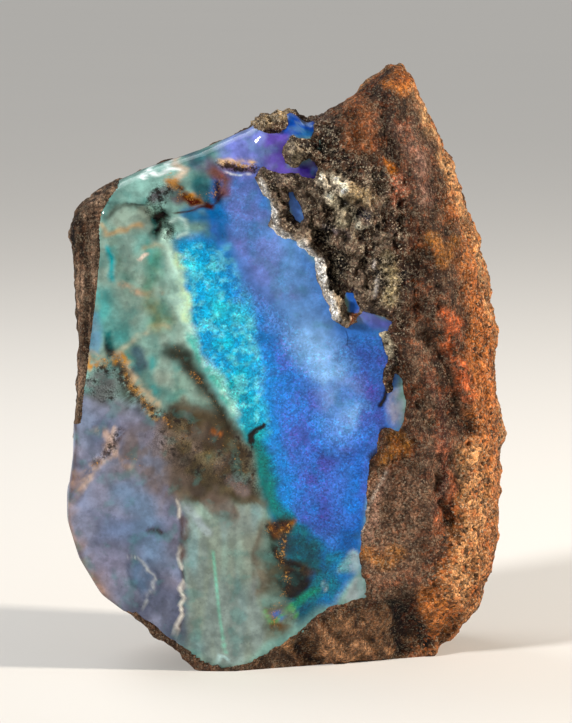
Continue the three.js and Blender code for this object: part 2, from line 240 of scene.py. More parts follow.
def distance_to_line(x: Array, z: Array, line: Line) -> Array:
    """The distance from each x, z to a line, from where each point falls on each of its stretches.

    Args:
        x: How far across each point is.
        z: How far up or down it is.
        line: The line's points.

    Returns:
        The distances, in the line's own units.
    """
    nearest = np.full(np.shape(x), np.inf)
    for (ax, az), (bx, bz) in zip(line[:-1], line[1:]):
        dx, dz = bx - ax, bz - az
        along = np.clip(((x - ax) * dx + (z - az) * dz) / (dx * dx + dz * dz + 1e-9), 0.0, 1.0)
        nearest = np.minimum(nearest, np.hypot(x - ax - along * dx, z - az - along * dz))
    return nearest


def distance_outside(x: Array, z: Array, outline: Line) -> Array:
    """The distance from each x, z to an outline, less than 0 inside, where a ray crosses it oddly often.

    Args:
        x: How far across each point is.
        z: How far up or down it is.
        outline: The outline's corners, in order.

    Returns:
        The signed distances, in the outline's own units.
    """
    closed = (*outline, outline[0])
    inside = np.zeros(np.shape(x), dtype=bool)
    for (ax, az), (bx, bz) in zip(closed[:-1], closed[1:]):
        if az != bz:
            inside ^= ((az > z) != (bz > z)) & (x < ax + (z - az) * (bx - ax) / (bz - az))
    distance = distance_to_line(x, z, closed)
    return np.where(inside, -distance, distance)


def plane_y(corners: tuple[Triple, ...], x: Array, z: Array) -> Array:
    """The y of the plane through three points, at x and z: p.y less the slope times the way from p.

    Args:
        corners: The three points.
        x: How far right each place is.
        z: How far up it is.

    Returns:
        y for each place.
    """
    p, q, r = (np.array(corner) for corner in corners)
    normal = np.cross(q - p, r - p)
    return p[1] - (normal[0] * (x - p[0]) + normal[2] * (z - p[2])) / normal[1]


@dataclass(frozen=True)
class Noise:
    """Repeatable noise: random values at the corners of a cubic lattice."""

    seed: int  # sets one noise apart from another

    def _random(self, i: Array, j: Array, k: Array) -> Array:
        """A number from 0 to 1 for each lattice corner, from a hash of its three whole numbers.

        Args:
            i: The corner's number along x.
            j: Along y.
            k: Along z.

        Returns:
            One value for each corner.
        """
        mixed = (i * 374761393 + j * 668265263 + k * 1442695041 + self.seed * 69069) & 0xFFFFFFFF
        mixed = ((mixed ^ (mixed >> 13)) * 1274126177) & 0xFFFFFFFF
        mixed = ((mixed ^ (mixed >> 16)) * 2246822519) & 0xFFFFFFFF
        return ((mixed ^ (mixed >> 15)) & 0xFFFFFF) / 16777215.0

    @staticmethod
    def _cube(place: Array) -> list[Array]:
        """The three whole numbers of the lattice cube that each place is in."""
        return [np.floor(place[..., axis]).astype(np.int64) for axis in range(3)]

    def smooth(self, points: Array, length: float | Triple) -> Array:
        """Values from -1 to 1 that change over a length: the eight corners round a point, blended.

        Args:
            points: Places in mm.
            length: The lattice's step in mm, one for all axes or one for each.

        Returns:
            One value for each place.
        """
        place = points / np.array(length)
        t = place - np.floor(place)
        t = t * t * (3.0 - 2.0 * t)
        cube = self._cube(place)
        total = 0.0
        for sides in product((0, 1), repeat=3):
            weight = 1.0
            for axis, side in enumerate(sides):
                weight = weight * (t[..., axis] if side else 1 - t[..., axis])
            total = total + weight * self._random(*(whole + side for whole, side in zip(cube, sides)))
        return 2.0 * total - 1.0

    def _octaves(self, points: Array, length: float | Triple, octaves: int,
                 stride: int, drift: float) -> Iterator[tuple[float, Array]]:
        """Each octave's share and smooth noise: half as much at half the length, with a seed of its own.

        Args:
            points: Places in mm.
            length: The first octave's length in mm.
            octaves: How many there are.
            stride: From one octave's seed to the next one's.
            drift: How far the places move at each octave, in mm.

        Returns:
            The share and the values of one octave after another.
        """
        for octave in range(octaves):
            layer = Noise(self.seed + stride * octave)
            yield 0.5**octave, layer.smooth(points + drift * octave, np.array(length) / 2**octave)

    def rough(self, points: Array, length: float | Triple, octaves: int = 4) -> Array:
        """Noise with detail down to small lengths, from about -1 to 1: the sum of its octaves."""
        layers = self._octaves(points, length, octaves, 101, 7.3)
        return sum(share * value for share, value in layers) / (2.0 - 0.5 ** (octaves - 1))

    def ridges(self, points: Array, length: float | Triple, octaves: int = 4) -> Array:
        """Sharp winding crests from 0 to 1, where the noise of each octave crosses 0: 1 - |2.2 n|.

        Args:
            points: Places in mm.
            length: The first octave's length in mm.
            octaves: How many there are.

        Returns:
            One value for each place.
        """
        layers = self._octaves(points, length, octaves, 131, 5.1)
        crests = (share * np.clip(1.0 - 2.2 * np.abs(value), 0.0, 1.0) for share, value in layers)
        return sum(crests) / (2.0 - 0.5 ** (octaves - 1))

    def crumbs(self, points: Array, length: float) -> tuple[Array, Array]:
        """Cells round one random point in each lattice cube.

        Args:
            points: Places in mm.
            length: The lattice's step in mm.

        Returns:
            The distance to the nearest cell's point, over the length, and that cell's random value.
        """
        place = points / length
        cube = self._cube(place)
        nearest = np.full(place.shape[:-1], np.inf)
        value = np.zeros(place.shape[:-1])
        for steps in product((-1, 0, 1), repeat=3):
            corner = [whole + step for whole, step in zip(cube, steps)]
            jitter = [Noise(self.seed + 11 * axis)._random(*corner) for axis in (1, 2, 3)]
            gap = [corner[axis] + jitter[axis] - place[..., axis] for axis in range(3)]
            distance = np.sqrt(gap[0] ** 2 + gap[1] ** 2 + gap[2] ** 2)
            closer = distance < nearest
            nearest = np.where(closer, distance, nearest)
            value = np.where(closer, self._random(*corner), value)
        return nearest, value


@dataclass(frozen=True)
class Mark:
    """Something drawn on the stone, as it is in the view. Its lengths are in view points."""

    name: str  # what it is on the stone
    colour: Triple | None  # none where the mark only says how much of something there is
    points: Line  # its line, or its outline
    width: float  # half a stroke's width, or how far a patch goes past its outline
    soft: float  # over what distance its edge fades
    strength: float = 0.85  # how far it covers what lies under it, from 0 to 1
    ragged: float = 9.0  # how far noise bends it
    patchy: float = 0.3  # how much of it noise takes away in spots, from 0 to 1
    spots: float | Triple = 9.0  # the length of those spots, one for all axes or one for each
    sparse: float = 0.0  # above 0, the spots take more of it, and below 0 less
    detail: int = 4  # octaves of the spots' noise: with few, their edges are soft

    def spotted(self, points: Array) -> Array:
        """The share that its spots leave of it at each place in mm.

        Args:
            points: The places.

        Returns:
            Values from 0 to 1.
        """
        if not self.patchy:
            return 1.0
        noise = Noise(sum(map(ord, self.name))).rough(points, np.array(self.spots) * VIEW_POINT, self.detail)
        return 1.0 - self.patchy * ramp(noise + self.sparse, -0.1, 0.45)


class Stroke(Mark):
    """A mark along a line."""

    def distance(self, across: Array, down: Array) -> Array:
        """How far each place is from the line."""
        return distance_to_line(across, down, self.points)


class Patch(Mark):
    """A mark over all that an outline holds."""

    def distance(self, across: Array, down: Array) -> Array:
        """How far each place is outside the outline."""
        return distance_outside(across, down, self.points)


def cloud(name: str, colour: Triple, outline: Line, spots: float | Triple, strength: float,
          sparse: float = 0.0, soft: float = 14.0) -> Patch:
    """A patch that is all spots with soft edges, as the clouds inside the opal are."""
    return Patch(name, colour, outline, 0, soft, strength, 9, 1, spots, sparse, 2)


class Canvas:
    """A piece's surface to draw on: its places in mm, where each is in the view, and how marks bend."""

    def __init__(self, points: Array, seed: int) -> None:
        """Finds the places in the view, and takes two noises that bend marks one way and the other.

        Args:
            points: Places in mm.
            seed: The first noise's seed.
        """
        self.points = points
        self.across, self.down = seen(points)
        self.bend = [Noise(seed + 7 * k).rough(points, 6.0, 5) for k in range(2)]

    def cover(self, mark: Mark) -> Array:
        """How much of a mark lies at each place.

        It is strength times a smooth ramp that falls from 1 to 0 over soft, with its middle at width,
        measured from a place that noise has moved, and less in spots.

        Args:
            mark: The mark.

        Returns:
            Values from 0 to 1.
        """
        across = self.across + mark.ragged * self.bend[0]
        down = self.down + mark.ragged * self.bend[1]
        reach = mark.width + mark.soft
        sides, levels = zip(*mark.points)
        near = (across > min(sides) - reach) & (across < max(sides) + reach)
        near &= (down > min(levels) - reach) & (down < max(levels) + reach)
        result = np.zeros(np.shape(across))
        if near.any():
            distance = mark.distance(across[near], down[near])
            whole = 1.0 - ramp(distance, mark.width - mark.soft / 2, mark.width + mark.soft / 2)
            result[near] = mark.strength * whole * mark.spotted(self.points[near])
        return result

    def paint(self, ground: Array, marks: tuple[Mark, ...]) -> Array:
        """Marks laid over a ground of linear colours, one on top of the other.

        Args:
            ground: The colours under the marks.
            marks: The lowest comes first.

        Returns:
            Linear colours.
        """
        colours = ground
        for mark in marks:
            colours = blend(colours, linear(mark.colour), self.cover(mark)[..., None])
        return colours

    def fill(self, marks: tuple[Mark, ...]) -> Array:
        """The most that any of some marks covers each place, from 0 to 1."""
        return np.maximum.reduce([self.cover(mark) for mark in marks])


@dataclass(frozen=True)
class Rib:
    """The block's form in some directions from its axis, one value of each for every direction."""

    angle: Array
    reach: Array
    girth_y: Array
    front: Array
    back: Array


class Block:
    """The block's own skin, as the solids have it, from ribs round its girth."""

    steps = 1440  # directions that it is measured in

    def __init__(self) -> None:
        """Measures the ribs in many directions and rounds their corners a little."""
        x, z = RIBS[:, 0] - AXIS_X, RIBS[:, 1] - AXIS_Z
        turn = np.unwrap(np.arctan2(z, x))
        angles = turn[0] + np.arange(self.steps) * TURN / self.steps
        index = np.clip(np.searchsorted(turn, angles, side="right") - 1, 0, len(RIBS) - 1)
        following = (index + 1) % len(RIBS)
        dx, dz = np.cos(angles), np.sin(angles)
        bx, bz = x[following] - x[index], z[following] - z[index]
        share = -(x[index] * dz - z[index] * dx) / (bx * dz - bz * dx)
        reach = (x[index] + share * bx) * dx + (z[index] + share * bz) * dz
        between = RIBS[index] + share[:, None] * (RIBS[following] - RIBS[index])
        order = np.argsort(angles % TURN)
        self._angles = (angles % TURN)[order]
        self._table = self._rounded(np.column_stack([reach, between[:, 2:]])[order])

    @staticmethod
    def _rounded(table: Array) -> Array:
        """Each column averaged with its neighbours, nearer ones counting for more: exp(-(i/3)^2).

        Args:
            table: A row for each direction.

        Returns:
            The table, rounded.
        """
        offsets = np.arange(-8, 9)
        weights = np.exp(-((offsets / 3.0) ** 2))
        layers = [weight * np.roll(table, offset, axis=0) for offset, weight in zip(offsets, weights)]
        return sum(layers) / weights.sum()

    def rib(self, angle: Array) -> Rib:
        """The form in each direction, interpolated between the measured ones."""
        columns = [np.interp(angle % TURN, self._angles, column, period=TURN) for column in self._table.T]
        return Rib(angle, *columns)

    @staticmethod
    def _curve(travel: Array, reach: Array, depth: Array, fullness: Array) -> tuple[Array, Array, Array]:
        """A place on the curve X^p + Y^p = 1, where p is the fullness.

        Args:
            travel: The way out to the corner of a box and then back to the girth, in mm.
            reach: How far out the corner is, in mm.
            depth: How far in front of the girth or behind it, in mm.
            fullness: From a round curve to one that nearly fills the box.

        Returns:
            The box's own shares, out and forward, and what brings them on to the curve.
        """
        out = np.minimum(travel / reach, 1.0)
        forward = np.clip(1.0 - (travel - reach) / depth, 0.0, 1.0)
        return out, forward, (out**fullness + forward**fullness) ** (-1.0 / fullness)

    def front_point(self, rib: Rib, travel: Array) -> tuple[Array, Array, Array]:
        """A place on the front of the bare skin, before any swell: on the curve, in the rib's box.

        Args:
            rib: The form in each direction.
            travel: The way from the middle of the face to the rim and then back to the girth, in mm.

        Returns:
            The distance from the axis, y, and how squarely the skin faces forward, from 0 to 1.
        """
        depth = rib.girth_y - FACE_Y
        out, forward, scale = self._curve(travel, rib.reach, depth, rib.front)
        return rib.reach * out * scale, rib.girth_y - depth * forward * scale, (forward * scale) ** 2

    def back_point(self, rib: Rib, path: Array) -> tuple[Array, Array, Array]:
        """A place on the back of the bare skin: the same curve, with ribs that die away into a worn oval.

        Args:
            rib: The form in each direction.
            path: From 1 at the girth to 2 in the middle of the back.

        Returns:
            x, y and z in mm.
        """
        worn = ramp(path, 1.0, 1.5)
        oval = 1.0 / np.hypot(np.cos(rib.angle) / OVAL_X, np.sin(rib.angle) / OVAL_Z)
        reach = blend(rib.reach, oval, worn)
        fullness = blend(rib.back, OVAL_FULLNESS, worn)
        depth = BACK_Y - rib.girth_y
        out, backward, scale = self._curve((2.0 - path) * (reach + depth), reach, depth, fullness)
        radius = reach * out * scale
        x = blend(AXIS_X, BACK_AXIS_X, worn) + np.cos(rib.angle) * radius
        z = blend(AXIS_Z, BACK_AXIS_Z, worn) + np.sin(rib.angle) * radius
        return x, rib.girth_y + depth * backward * scale, z

    @staticmethod
    def lumps(points: Array) -> Array:
        """Long swells of a weathered skin: sines of shortening length in directions spread over a sphere.

        Args:
            points: Places in mm.

        Returns:
            Heights in mm.
        """
        total = 0.0
        for i in range(LUMP_WAVES):
            up = 1.0 - (2 * i + 1) / LUMP_WAVES
            level = math.sqrt(1.0 - up * up)
            heading = np.array([level * math.cos(2.4 * i), level * math.sin(2.4 * i), up])
            phase = TURN * (points @ heading) / (LUMP_LENGTH * 0.8**i) + 1.7 * i
            total = total + 0.84**i * np.sin(phase)
        return LUMP_HEIGHT * total

    def swell(self, points: Array, rib: Rib, share: Array) -> Array:
        """Points moved outwards by a share of the long swells, and kept off the ground.

        Args:
            points: Places in mm.
            rib: The form in each direction.
            share: How much of the swells each place has.

        Returns:
            The moved places.
        """
        x, y, z = np.moveaxis(points, -1, 0)
        away = np.stack([(x - AXIS_X) / 50, (y - rib.girth_y) / 30, (z - AXIS_Z) / 70], axis=-1)
        away /= np.linalg.norm(away, axis=-1, keepdims=True) + 1e-9
        moved = points + away * (share * self.lumps(points))[..., None]
        moved[..., 2] = np.maximum(moved[..., 2], 0.0)
        return moved

    def broken_back(self, x: Array, y: Array, z: Array) -> Array:
        """y cut back to the flat breaks, with each corner rounded by a smooth minimum.

        Args:
            x: How far right each place is, in mm.
            y: How far back it is.
            z: How far up it is.

        Returns:
            The new y.
        """
        for plane in BACK_BREAKS:
            cut = plane_y(plane, x, z)
            share = np.clip(0.5 + 0.5 * (cut - y) / BREAK_ROUNDING, 0.0, 1.0)
            y = cut + share * (y - cut) - BREAK_ROUNDING * share * (1.0 - share)
        return y

    def skin(self, rib: Rib, path: Array) -> tuple[Array, Array]:
        """The block's skin with its long swells and the breaks of its back, but no crust.

        Args:
            rib: The form in each direction.
            path: From 0 in the middle of the face to 1 at the girth and 2 in the middle of the back.

        Returns:
            The places in mm, and how squarely each faces forward, from 0 to 1.
        """
        path = path + np.zeros_like(rib.reach)
        behind = path > 1.0
        radius, y, facing = self.front_point(rib, np.minimum(path, 1.0) * (rib.reach + rib.girth_y - FACE_Y))
        x, z = AXIS_X + np.cos(rib.angle) * radius, AXIS_Z + np.sin(rib.angle) * radius
        rear = self.back_point(rib, np.maximum(path, 1.0))
        points = np.stack([np.where(behind, b, a) for a, b in zip((x, y, z), rear)], axis=-1)
        share = FRONT_LUMP_SHARE * ramp(distance_outside(x, z, BARED), 0.0, SKIN_MARGIN)
        share = np.where(behind, blend(FRONT_LUMP_SHARE, 1.0, ramp(path, 1.0, 1.3)), share)
        points = self.swell(points, rib, share)
        broken = np.maximum(self.broken_back(*np.moveaxis(points, -1, 0)), rib.girth_y)
        points[..., 1] = blend(points[..., 1], broken, ramp(path, 1.0, 1.15) * behind)
        cut = plane_y(UNDERCUT, points[..., 0], points[..., 2])
        points[..., 1] = np.where(behind, points[..., 1], np.maximum(points[..., 1], cut))
        return points, np.where(behind, 0.0, facing)


def normals_of(grid: Array) -> Array:
    """The outward normals of a grid of rings: the way to the next ring, crossed with the way round.

    Args:
        grid: Rings by steps by x, y, z.

    Returns:
        A vector of length 1 for each place.
    """
    round_axis = np.roll(grid, -1, axis=1) - np.roll(grid, 1, axis=1)
    normal = np.cross(np.gradient(grid, axis=0), round_axis)
    return normal / (np.linalg.norm(normal, axis=-1, keepdims=True) + 1e-12)


def new_object(name: str, data: bpy.types.ID) -> Object:
    """An object in the scene, at the origin.

    Args:
        name: Its name.
        data: Its mesh, lamp or camera.

    Returns:
        The object.
    """
    item = bpy.data.objects.new(name, data)
    bpy.context.scene.collection.objects.link(item)
    return item


def neighbours(values: Array, span: int) -> Array:
    """Each value of a closed ring with those up to a span away on both sides of it."""
    return np.stack([np.roll(values, offset) for offset in range(-span, span + 1)])


def closed_mesh(name: str, grid: Array, shift: Array, layers: dict[str, Array]) -> Object:
    """A closed surface from a grid of rings, whose first and last rings are each drawn to a point.

    Args:
        name: The piece's name.
        grid: Rings by steps by x, y, z, in mm.
        shift: From the block's millimetres to the frame's.
        layers: Numbers or linear colours for the points, by attribute name.

    Returns:
        The new object, at the origin.
    """
    rings, steps = grid.shape[:2]
    corners = np.concatenate([grid[:1].mean(axis=1), grid[1:-1].reshape(-1, 3), grid[-1:].mean(axis=1)])
    corners = (corners + shift) / METRE
    step = np.arange(steps)
    after = (step + 1) % steps
    inner = 1 + np.arange(rings - 3)[:, None] * steps
    quads = np.stack([inner + step, inner + steps + step, inner + steps + after, inner + after], axis=-1)
    first = np.stack([np.zeros(steps, dtype=int), 1 + step, 1 + after], axis=-1)
    last_ring = 1 + (rings - 3) * steps
    last = np.stack([last_ring + step, np.full(steps, len(corners) - 1), last_ring + after], axis=-1)
    faces = first.tolist() + quads.reshape(-1, 4).tolist() + last.tolist()
    mesh = bpy.data.meshes.new(name)
    mesh.from_pydata(corners.tolist(), [], faces)
    mesh.polygons.foreach_set("use_smooth", np.ones(len(faces), dtype=bool))
    for layer, values in layers.items():
        between = values[1:-1].reshape(-1, *values.shape[2:])
        one_each = np.concatenate([values[:1, 0], between, values[-1:, 0]])
        if one_each.ndim == 2:
            rgba = np.concatenate([one_each, np.ones((len(one_each), 1))], axis=1)
            mesh.attributes.new(layer, "FLOAT_COLOR", "POINT").data.foreach_set("color", rgba.ravel())
        else:
            mesh.attributes.new(layer, "FLOAT", "POINT").data.foreach_set("value", one_each.ravel())
    mesh.update()
    return new_object(name, mesh)


def above_seam(points: Array) -> Array:
    """The distance outside the room where opal shows: inside its outline or a window, and not too deep.

    Noise breaks its edge, less of it at the left. The stone sinks inside it, and the opal outside.

    Args:
        points: Places in mm.

    Returns:
        Distances in mm, less than 0 where opal shows.
    """
    breakage = 0.2 + 0.3 * ramp(points[..., 0], -42.0, -34.0) + 0.5 * ramp(points[..., 0], -12.0, -4.0)
    x = points[..., 0] + breakage * Noise(31).rough(points, 2.6, 3)
    z = points[..., 2] + breakage * Noise(32).rough(points, 2.6, 3)
    outside = distance_outside(x, z, BARED)
    for window in CRUST_WINDOWS:
        outside = np.minimum(outside, distance_outside(x, z, window))
    back = SEAM_BACK - 3.0 + 5.5 * Noise(33).rough(points, 9.0, 4)
    return np.maximum(outside, points[..., 1] - back)


# Colours of the opal, from the broad grounds to the small marks
OPAL_GROUND = (114, 150, 142)
OPAL_BODY = (
    Patch("blue body", (52, 104, 180), (
        (212, 168), (262, 162), (275, 225), (318, 262), (335, 318), (398, 318), (398, 440), (370, 470),
        (363, 560), (335, 606), (290, 606), (285, 560), (266, 500), (262, 455), (244, 424), (216, 384),
        (190, 330), (172, 262), (176, 238), (205, 232),
    ), 0, 12, 1, patchy=0),
    Patch("light blue crown", (72, 114, 176), (
        (214, 172), (262, 178), (272, 236), (318, 268), (335, 322), (350, 352), (318, 342), (276, 308),
        (248, 262), (222, 222),
    ), 0, 26, 1, patchy=0.1),
    Patch("deep violet heart", (54, 70, 144), (
        (352, 346), (372, 352), (388, 352), (384, 440), (368, 500), (350, 530), (314, 540), (294, 512),
        (286, 462), (300, 424), (330, 452), (358, 446), (360, 400),
    ), 0, 26, patchy=0.1),
    # partly the opal's milky haze, partly a painted sheen of the polished face
    Stroke("haze over the heart", (134, 180, 230), ((308, 338), (322, 362), (336, 388), (342, 424)), 18, 36,
           patchy=0.1),
    Stroke("pale lilac cloud", (100, 128, 196), ((234, 226), (248, 262), (262, 320)), 16, 30, 0.6),
    Patch("cyan field", (20, 148, 196), (
        (174, 240), (205, 236), (232, 262), (248, 312), (256, 352), (266, 402), (270, 440), (250, 436),
        (220, 388), (196, 340), (178, 288),
    ), 0, 22, 1, ragged=17, patchy=0.1),
    Stroke("bright cyan core", (44, 180, 220), ((188, 252), (208, 290), (226, 322)), 10, 14, patchy=0.6),
    Stroke("bright cyan foot", (0, 104, 132), ((230, 384), (242, 402), (254, 430)), 10, 14, 1),
    Stroke("azure margin", (68, 140, 212), ((226, 250), (240, 300), (258, 350), (270, 400)), 8, 18, 0.6),
    Stroke("deep blue block", (16, 96, 158), ((194, 214), (222, 212), (226, 232)), 9, 12),
    Stroke("teal bank", (4, 106, 104), ((248, 430), (264, 462), (272, 502), (286, 522)), 9, 14, 1,
           patchy=0.1),
    Patch("lower teal", (4, 70, 92), (
        (278, 516), (306, 530), (330, 556), (340, 580), (330, 604), (302, 626), (284, 604), (286, 560),
    ), 0, 20, 1, patchy=0.1),
    Stroke("royal blue foot", (12, 74, 136), ((322, 512), (350, 516), (350, 552)), 12, 20),
    Patch("pale foot", (156, 170, 172), ((340, 566), (352, 552), (361, 556), (356, 574), (340, 572)), 0, 6),
    Patch("pale toe", (140, 150, 154), ((354, 580), (362, 578), (369, 600), (344, 604)), 0, 6),
    Stroke("azure at the heart's left", (28, 118, 192), (
        (262, 318), (268, 360), (276, 410), (284, 456), (292, 500),
    ), 9, 18, patchy=0.5),
    Stroke("azure at the heart's right", (26, 90, 176), ((364, 420), (358, 470), (352, 520)), 7, 18, 0.8),
    # partly the opal's milky haze, partly a painted sheen of the polished face
    Stroke("haze below the crown", (104, 150, 208), ((282, 232), (290, 276), (298, 316)), 18, 40, 0.7,
           patchy=0.1),
)
OPAL_FIELDS = (
    Patch("grey-green middle", (92, 110, 102), (
        (132, 352), (150, 340), (184, 350), (204, 388), (222, 424), (176, 412), (148, 396),
    ), 0, 18, 1, ragged=17),
    Patch("upper lavender", (110, 116, 132), (
        (60, 400), (112, 404), (160, 424), (172, 462), (146, 480), (96, 474), (60, 474),
    ), 0, 34, 1, ragged=21),
    Patch("lavender field", (118, 123, 146), (
        (66, 474), (100, 462), (150, 470), (174, 488), (181, 506), (182, 642), (140, 642), (84, 610),
        (50, 540),
    ), 0, 14, 1, ragged=17, patchy=0.1),
    Patch("smoky field", (76, 66, 56), (
        (158, 420), (176, 406), (198, 408), (222, 418), (246, 446), (262, 492), (262, 503), (180, 503),
        (164, 480), (154, 446),
    ), 0, 26, 1, ragged=21, patchy=0.1),
    Patch("mint column", (122, 146, 136), (
        (183, 503), (262, 503), (268, 520), (248, 556), (262, 600), (272, 636), (246, 668), (210, 668),
        (184, 652), (181, 640),
    ), 0, 5, 1, ragged=5, patchy=0),
    Stroke("column's brown top", (98, 84, 70), ((238, 516), (254, 528), (252, 560), (262, 590)), 11, 18),
)
OPAL_TOP = (
    Patch("lilac bank", (112, 122, 196), (
        (214, 150), (250, 124), (264, 126), (264, 176), (240, 180), (222, 168),
    ), 0, 14, 1),
    Patch("purple tongue", (98, 80, 172), (
        (262, 130), (288, 132), (286, 164), (302, 164), (320, 156), (320, 182), (300, 184), (284, 176),
        (262, 174),
    ), 0, 8, 1),
    Stroke("ink purple", (40, 26, 104), ((304, 168), (316, 178)), 7, 8),
    Patch("blue boss", (30, 70, 158), (
        (278, 118), (286, 108), (318, 100), (318, 140), (290, 139), (278, 134),
    ), 0, 4, 1),
    Stroke("boss's rim", (130, 160, 204), ((292, 124), (304, 123), (312, 128)), 1, 3, 0.7),
    Stroke("mauve smoke", (96, 84, 112), ((192, 160), (206, 166), (224, 172)), 8, 14),
    Stroke("teal shoulder", (44, 104, 112), ((184, 164), (206, 152)), 5, 8),
    # painted highlight: the pale sheen is partly, and its white glints wholly, the gloss of the rounded edge
    Patch("pale sheen", (128, 170, 162), (
        (122, 200), (132, 180), (150, 168), (182, 158), (178, 176), (160, 196), (140, 204),
    ), 0, 10, 1, ragged=12),
    Stroke("white of the sheen", (236, 246, 246), (
        (142, 176), (152, 170), (160, 174), (168, 166), (178, 165),
    ), 2, 4, 1, ragged=14, patchy=1, spots=5),
    Stroke("cream under the edge", (200, 176, 154), ((174, 162), (184, 166), (178, 178)), 3, 6),
    Stroke("disc's shade", (70, 78, 70), ((104, 214), (112, 207), (134, 205), (148, 212), (152, 222)), 3, 6),
    Patch("pale disc", (128, 148, 136), ((108, 214), (124, 208), (142, 212), (146, 226), (122, 228)), 0, 8),
    Stroke("rust cloud", (120, 74, 50), ((212, 172), (226, 180), (224, 192)), 6, 10, patchy=0.5),
    Stroke("night teal", (24, 78, 92), ((200, 182), (206, 200)), 8, 8),
    Stroke("night spot", (18, 14, 16), ((217, 184), (219, 200)), 3, 7, 1, ragged=5, patchy=0.1),
    Stroke("garden's purple", (84, 70, 78), ((158, 200), (170, 192), (181, 198)), 6, 7, patchy=0.5),
    Stroke("dark garden", (20, 20, 14), ((154, 222), (166, 218), (168, 230), (154, 233)), 7, 9, 1,
           patchy=0.5),
    Stroke("garden's pale rings", (172, 198, 190), (
        (172, 222), (180, 217), (187, 220), (188, 232), (179, 236),
    ), 1.6, 4, ragged=5, patchy=0.6, spots=5),
    Stroke("orange of the flame", (184, 122, 46), ((172, 182), (184, 192), (200, 202)), 5, 7, 1,
           patchy=1, spots=6),
    Stroke("brown of the flame", (66, 32, 16), ((180, 188), (192, 202), (212, 208)), 4, 6, 1, patchy=0.9),
    Stroke("dark thread", (40, 34, 34), ((102, 204), (128, 203), (150, 206)), 0.6, 2, ragged=5),
    Stroke("brown thread", (60, 34, 24), ((176, 214), (200, 208), (212, 208), (224, 194)), 0.8, 2, 1,
           ragged=5),
    Stroke("tan crust's dark", (84, 60, 48), ((222, 162), (238, 166), (252, 168)), 4, 5, patchy=0.7),
    Stroke("tan crust", (216, 180, 138), ((220, 161), (236, 160), (252, 162)), 3, 4, 1,
           patchy=1, spots=2.5, sparse=0.1),
    Stroke("crust's white line", (214, 214, 220), ((226, 170), (238, 174), (250, 173)), 0.8, 3, 1,
           patchy=0.8, spots=4),
)
